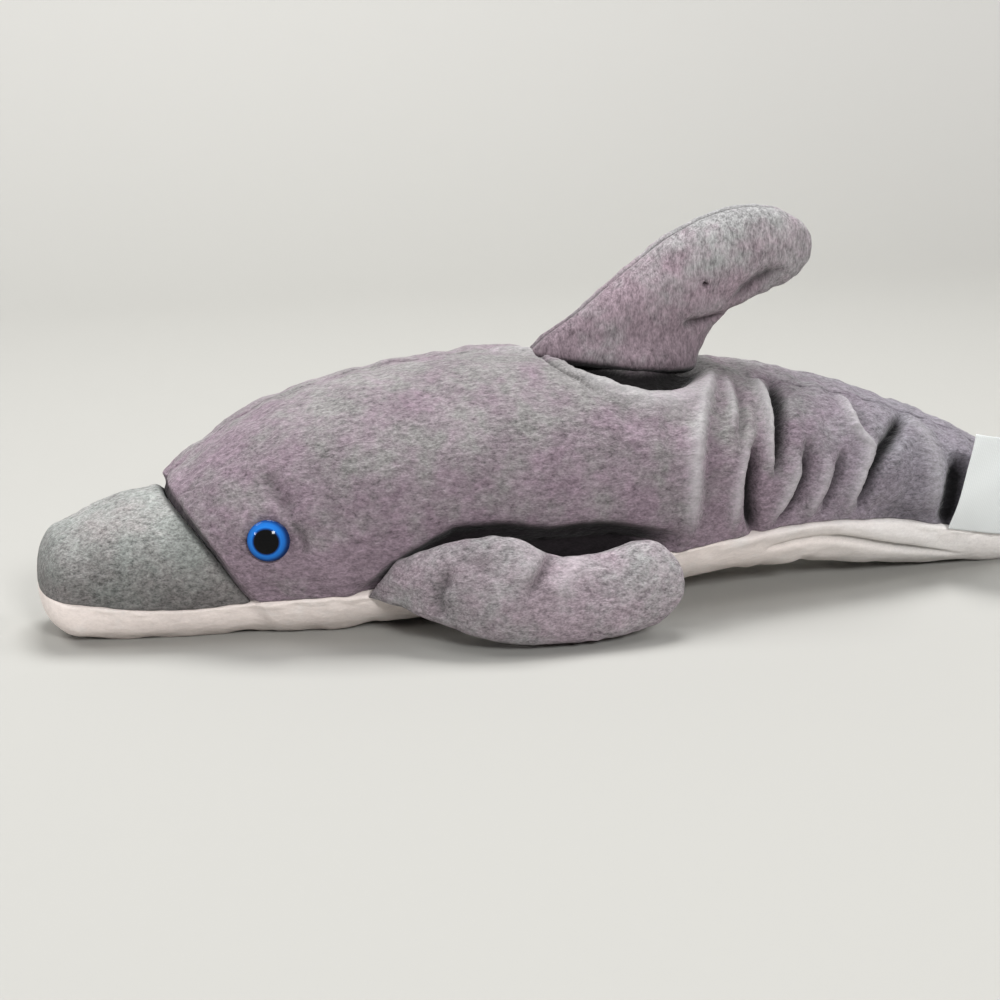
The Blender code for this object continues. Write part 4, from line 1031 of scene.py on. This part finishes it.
def eye_surface(name, centre, axis):
    """Polished acrylic, coloured by the distance from the eye's axis: a black pupil, then a blue
    iris that is lighter in its middle and dark at its rim. It gives the eye a crisp wet shine."""
    made, tree, shader = new_surface(name)
    shift = np.array([-0.5, 0.0, 0.25])
    shift = shift - axis * (shift @ axis)
    middle = (centre + shift - [TOTAL_LENGTH / 2, 0.0, 0.0]) * MM
    place = add(tree, "ShaderNodeTexCoord").outputs["Object"]
    from_middle = add(tree, "ShaderNodeVectorMath", {0: place, 1: middle.tolist()}, operation="SUBTRACT")
    along_axis = add(tree, "ShaderNodeVectorMath", {0: from_middle.outputs[0], 1: axis.tolist()},
                     operation="DOT_PRODUCT")
    on_axis = add(tree, "ShaderNodeVectorMath", {0: axis.tolist(), "Scale": along_axis.outputs["Value"]},
                  operation="SCALE")
    across = add(tree, "ShaderNodeVectorMath", {0: from_middle.outputs[0], 1: on_axis.outputs[0]},
                 operation="SUBTRACT")
    radius = add(tree, "ShaderNodeVectorMath", {0: across.outputs[0]}, operation="LENGTH")
    share = add(tree, "ShaderNodeMath", {0: radius.outputs["Value"], 1: EYE_RADIUS * MM},
                operation="DIVIDE")
    ramp = add(tree, "ShaderNodeValToRGB", {"Fac": share.outputs[0]})
    stops = ramp.color_ramp.elements
    edge = PUPIL_RADIUS / EYE_RADIUS
    stops[0].position = edge - 0.02
    stops[0].color = linear("040405")
    stops[1].position = edge + 0.03
    stops[1].color = linear("0e3a7a")
    for place_on, colour in ((edge + 0.10, "1f70c6"), (0.84, IRIS_BLUE), (0.93, "11407f"), (1.0, "0a2450")):
        stops.new(place_on).color = linear(colour)
    tree.links.new(ramp.outputs[0], shader.inputs["Base Color"])
    shader.inputs["Roughness"].default_value = 0.06
    shader.inputs["IOR"].default_value = 1.49
    shader.inputs["Specular IOR Level"].default_value = 0.14
    return made


def turned(profile, centre, axis, segments):
    """A closed surface turned about an axis from points (radius, distance along the axis), with
    its first and last point on the axis. Returns its points and faces."""
    aside = unit(np.cross(axis, [0.0, 0.0, 1.0]))
    third = np.cross(axis, aside)
    turn = np.linspace(0.0, 2 * math.pi, segments, endpoint=False)
    circle = np.cos(turn)[:, None] * aside + np.sin(turn)[:, None] * third
    rings = profile[1:-1]
    body = centre + rings[:, 1][:, None, None] * axis + rings[:, 0][:, None, None] * circle[None]
    ends = centre + profile[[0, -1], 1][:, None] * axis
    points = np.concatenate([body.reshape(-1, 3), ends])
    index = np.arange(len(rings) * segments).reshape(len(rings), segments)
    after = np.roll(index, -1, axis=1)
    quads = np.stack([index[:-1], index[1:], after[1:], after[:-1]], axis=-1).reshape(-1, 4).tolist()
    top, tail = len(points) - 2, len(points) - 1
    first = np.stack([np.full(segments, top), index[0], after[0]], axis=-1).tolist()
    last = np.stack([np.full(segments, tail), after[-1], index[-1]], axis=-1).tolist()
    return points, quads + first + last


for side, sign in (("left", -1), ("right", 1)):
    centre, axis = eye_place(sign)
    widest = math.asin(EYE_RADIUS / DOME_RADIUS)
    swing = np.linspace(0.0, widest, 26)
    dome = np.stack([DOME_RADIUS * np.sin(swing),
                     EYE_SEAT + EYE_RIM + DOME_RADIUS * (np.cos(swing) - math.cos(widest))], axis=-1)
    points, faces = turned(np.concatenate([dome, EYE_BACK]), centre, axis, 72)
    eye = make_piece(f"safety_eye_{side}", points, faces, eye_surface(f"eye_acrylic_{side}", centre, axis))
    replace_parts(eye, f"eye_{side}")


# Washers and fibre fill
# The nylon locking washers behind the eyes stay as the solids that the frame gives. The loose
# polyester fill of the body is one mass that follows the fabric's inner face, folds and dimples too.
# Moulded nylon is a smooth, faintly cloudy white.
washer_nylon, tree, shader = new_surface("washer_nylon")
place = add(tree, "ShaderNodeTexCoord").outputs["Object"]
grain = add(tree, "ShaderNodeTexNoise", {"Vector": place, "Scale": 1 / (0.4 * MM), "Detail": 2.0})
tone = add(tree, "ShaderNodeMix", {
    "Factor": grain.outputs["Fac"], 6: linear("d6d6d0"), 7: linear("ecece8")}, data_type="RGBA")
tree.links.new(tone.outputs[2], shader.inputs["Base Color"])
shader.inputs["Roughness"].default_value = 0.45

FILL_GAP = 1.2
FILL_STEP = 2.4
fill_rows = np.concatenate([[4.0, 7.0], np.arange(10.0, BODY_LENGTH - 4.0, FILL_STEP)])
fill_turn = np.linspace(0.0, 2 * math.pi, 97)
along, angle = np.meshgrid(fill_rows, fill_turn, indexing="ij")
skin = bare_surface(along, angle)
rise, _ = fold_relief(skin, BODY_FOLDS + BELLY_FOLDS)
rise += eye_dimple(skin, -1) + eye_dimple(skin, 1)
lowest = np.minimum(rise, 0.0)
for axis in (0, 1):
    lowest = np.minimum(lowest, np.minimum(np.roll(lowest, 1, axis), np.roll(lowest, -1, axis)))
lowest -= 4.0 * np.exp(-((along - SNOUT_SEAM) / 5.0) ** 2)
clumping = 0.3 * ripple(skin, 9.0, 501)
fill = skin + outward(along, angle) * (lowest - FABRIC - FILL_GAP + clumping)[..., None]
fill[..., 2] = np.maximum(fill[..., 2], FABRIC + 0.4)
fill = fill[:, :-1]
ends = np.array([fill[0].mean(axis=0), fill[-1].mean(axis=0)])
index = np.arange(fill.size // 3).reshape(fill.shape[:2])
after = np.roll(index, -1, axis=1)
faces = np.stack([index[:-1], index[1:], after[1:], after[:-1]], axis=-1).reshape(-1, 4).tolist()
first, last = fill.size // 3, fill.size // 3 + 1
faces += np.stack([np.full(index.shape[1], first), index[0], after[0]], axis=-1).tolist()
faces += np.stack([np.full(index.shape[1], last), after[-1], index[-1]], axis=-1).tolist()
body_fill = make_piece("fibre_fill_body", np.concatenate([fill.reshape(-1, 3), ends]), faces, fibre_fill)
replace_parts(body_fill, "body_stuffing")
for side in ("left", "right"):
    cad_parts[f"eye_washer_{side}"].data.materials[0] = washer_nylon


# Label
# A blank care label of white woven satin, folded into the side seam in front of the flukes. It
# stands up from the seam, leans away from the body and curls a little at its free edge.
TAG_START = 281.0
TAG_WIDTH = 27.0
TAG_HEIGHT = 35.0
TAG_LEAN = math.radians(14.0)
TAG_THICKNESS = 0.35
TAG_STAND_OFF = 6.0


def satin():
    """Woven polyester satin. The long floats of its threads give a soft sideways sheen. The real
    threads are 0.1 mm apart, too fine to show, so they are drawn 0.5 and 0.7 mm apart."""
    made, tree, shader = new_surface("label_satin")
    place = add(tree, "ShaderNodeTexCoord").outputs["Object"]
    threads = []
    for direction, spacing in (("Z", 0.5), ("X", 0.7)):
        wave = add(tree, "ShaderNodeTexWave", {
            "Vector": place, "Scale": 0.314 / (spacing * MM), "Distortion": 0.6, "Detail": 1.0},
            bands_direction=direction)
        threads.append(wave.outputs["Fac"])
    both = add(tree, "ShaderNodeMath", {0: threads[0], 1: threads[1]}, operation="MULTIPLY")
    tone = add(tree, "ShaderNodeMix", {"Factor": both.outputs[0], 6: linear("e2e6e6"), 7: linear("f3f6f6")},
               data_type="RGBA")
    relief = add(tree, "ShaderNodeBump", {
        "Height": both.outputs[0], "Strength": 0.25, "Distance": 0.08 * MM})
    tree.links.new(tone.outputs[2], shader.inputs["Base Color"])
    tree.links.new(relief.outputs[0], shader.inputs["Normal"])
    shader.inputs["Roughness"].default_value = 0.55
    shader.inputs["Sheen Weight"].default_value = 0.15
    return made


tag_columns = np.linspace(TAG_START, TAG_START + TAG_WIDTH, 46)
tag_angle = -seam_angle(tag_columns)
root = bare_surface(tag_columns, tag_angle)
away = outward(tag_columns, tag_angle)
root = root + away * 0.3
away[:] = (0.0, -1.0, 0.0)
rise = np.linspace(0.0, 1.0, 60)[None, :, None]
lean = math.sin(TAG_LEAN) * TAG_HEIGHT * rise ** 1.3 + TAG_STAND_OFF * (1 - (1 - rise) ** 3)
face = root[:, None, :] + away[:, None, :] * lean
face = face + np.array([0.0, 0.0, 1.0]) * math.cos(TAG_LEAN) * TAG_HEIGHT * rise
wave = 0.35 * ripple(face, 16.0, 401)
face = face + away[:, None, :] * wave[..., None]
outer = face + away[:, None, :] * TAG_THICKNESS
direction = np.cross(outer[1:, :-1] - outer[:-1, :-1], outer[:-1, 1:] - outer[:-1, :-1])
if (direction * away[:-1, None, :]).sum() < 0:
    outer = outer[:, ::-1]
    face = face[:, ::-1]
tag_faces = shell_faces(*outer.shape[:2], np.arange(outer.shape[0]), np.arange(outer.shape[1]))
tag_points = np.concatenate([outer.reshape(-1, 3), face.reshape(-1, 3)])
tag = make_piece("care_label", tag_points, tag_faces, satin())
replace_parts(tag, "sewn_tag")


# Floor and light
# A plain pale sweep of matt paper that rises into a backdrop, under soft studio lamps: one in front,
# a large one above, weaker ones to both sides, and a small low one that glints in the eye.
BACKDROP = "dfddd9"
sweep_material, tree, shader = new_surface("pale_sweep")
place = add(tree, "ShaderNodeTexCoord").outputs["Object"]
height = add(tree, "ShaderNodeSeparateXYZ", {0: place})
upwards = add(tree, "ShaderNodeMapRange", {"Value": height.outputs[2], "From Min": 0.0, "From Max": 0.35})
tone = add(tree, "ShaderNodeMix", {"Factor": upwards.outputs[0], 6: linear("a7a6a2"), 7: linear("cdccc8")},
           data_type="RGBA")
tree.links.new(tone.outputs[2], shader.inputs["Base Color"])
shader.inputs["Roughness"].default_value = 0.95
shader.inputs["Specular IOR Level"].default_value = 0.1
# Past the lamps' reach the paper shows the backdrop's pale tone to the camera and to reflections,
# and gives no more light to the toy.
light_path = add(tree, "ShaderNodeLightPath").outputs
seen = light_path["Is Camera Ray"]
for kind in ("Is Glossy Ray", "Is Transmission Ray"):
    seen = add(tree, "ShaderNodeMath", {0: seen, 1: light_path[kind]}, operation="MAXIMUM").outputs[0]
far = add(tree, "ShaderNodeMapRange", {
    "Value": add(tree, "ShaderNodeVectorMath", {0: place}, operation="LENGTH").outputs["Value"],
    "From Min": 0.55, "From Max": 1.5, "To Min": 0.0, "To Max": 1.0}, interpolation_type="SMOOTHSTEP")
far_seen = add(tree, "ShaderNodeMath", {0: far.outputs[0], 1: seen}, operation="MULTIPLY")
pale = add(tree, "ShaderNodeEmission", {"Color": linear(BACKDROP), "Strength": 1.0})
sweep_mix = add(tree, "ShaderNodeMixShader", {
    0: far_seen.outputs[0], 1: shader.outputs[0], 2: pale.outputs[0]})
tree.links.new(sweep_mix.outputs[0], tree.nodes["Material Output"].inputs["Surface"])
# The sweep's sizes in metres: how far it runs ahead, where it starts to rise, its bend, height and
# half width
SWEEP_AHEAD = 2.5
SWEEP_RISE_START = 0.55
SWEEP_BEND = 0.35
SWEEP_HEIGHT = 2.6
SWEEP_HALF_WIDTH = 3.5
turn = np.linspace(0.0, math.pi / 2, 24)
bend_y = SWEEP_RISE_START + SWEEP_BEND * np.sin(turn)
sweep_y = np.concatenate([[-SWEEP_AHEAD], bend_y, [SWEEP_RISE_START + SWEEP_BEND]])
sweep_z = np.concatenate([[0.0], SWEEP_BEND * (1 - np.cos(turn)), [SWEEP_HEIGHT]])
sweep_x = np.array([-SWEEP_HALF_WIDTH, SWEEP_HALF_WIDTH])
grid = np.stack(np.broadcast_arrays(sweep_x[None, :], sweep_y[:, None], sweep_z[:, None]), axis=-1)
index = np.arange(grid.size // 3).reshape(grid.shape[:2])
quads = np.stack([index[:-1, :-1], index[:-1, 1:], index[1:, 1:], index[1:, :-1]], axis=-1).reshape(-1, 4)
sweep_mesh = bpy.data.meshes.new("sweep")
sweep_mesh.from_pydata(grid.reshape(-1, 3).tolist(), [], quads.tolist())
sweep_mesh.shade_smooth()
sweep_mesh.materials.append(sweep_material)
sweep = bpy.data.objects.new("sweep", sweep_mesh)
bpy.context.scene.collection.objects.link(sweep)

LAMPS = [
    ("front", (-0.02, -1.28, 0.70), 0.26, 14.0),
    ("window", (-1.12, -0.35, 0.33), 0.14, 2.4),
    ("top", (0.05, 0.30, 1.25), 0.55, 17.0),
    ("left", (-0.80, 0.05, 0.90), 0.50, 5.5),
    ("right", (0.75, -0.15, 1.0), 0.55, 4.5),
]
LAMPS_AIM = Vector((-0.03, 0.0, 0.04))
for name, place, size, power in LAMPS:
    lamp = bpy.data.lights.new(name, "AREA")
    lamp.size = size
    lamp.energy = power
    light = bpy.data.objects.new(name, lamp)
    light.location = place
    light.rotation_euler = (Vector(place) - LAMPS_AIM).to_track_quat("Z", "Y").to_euler()
    bpy.context.scene.collection.objects.link(light)

world = bpy.data.worlds.new("studio")
bpy.context.scene.world = world
world.use_nodes = True
tree = world.node_tree
ambient = tree.nodes["Background"]
ambient.inputs["Color"].default_value = linear("f4f5f7")
ambient.inputs["Strength"].default_value = 0.06
light_path = add(tree, "ShaderNodeLightPath").outputs
seen = light_path["Is Camera Ray"]
for kind in ("Is Glossy Ray", "Is Transmission Ray"):
    seen = add(tree, "ShaderNodeMath", {0: seen, 1: light_path[kind]}, operation="MAXIMUM").outputs[0]
pale = add(tree, "ShaderNodeBackground", {"Color": linear(BACKDROP), "Strength": 1.0})
around = add(tree, "ShaderNodeMixShader", {0: seen, 1: ambient.outputs[0], 2: pale.outputs[0]})
tree.links.new(around.outputs[0], tree.nodes["World Output"].inputs["Surface"])
bpy.context.scene.view_settings.view_transform = "Standard"
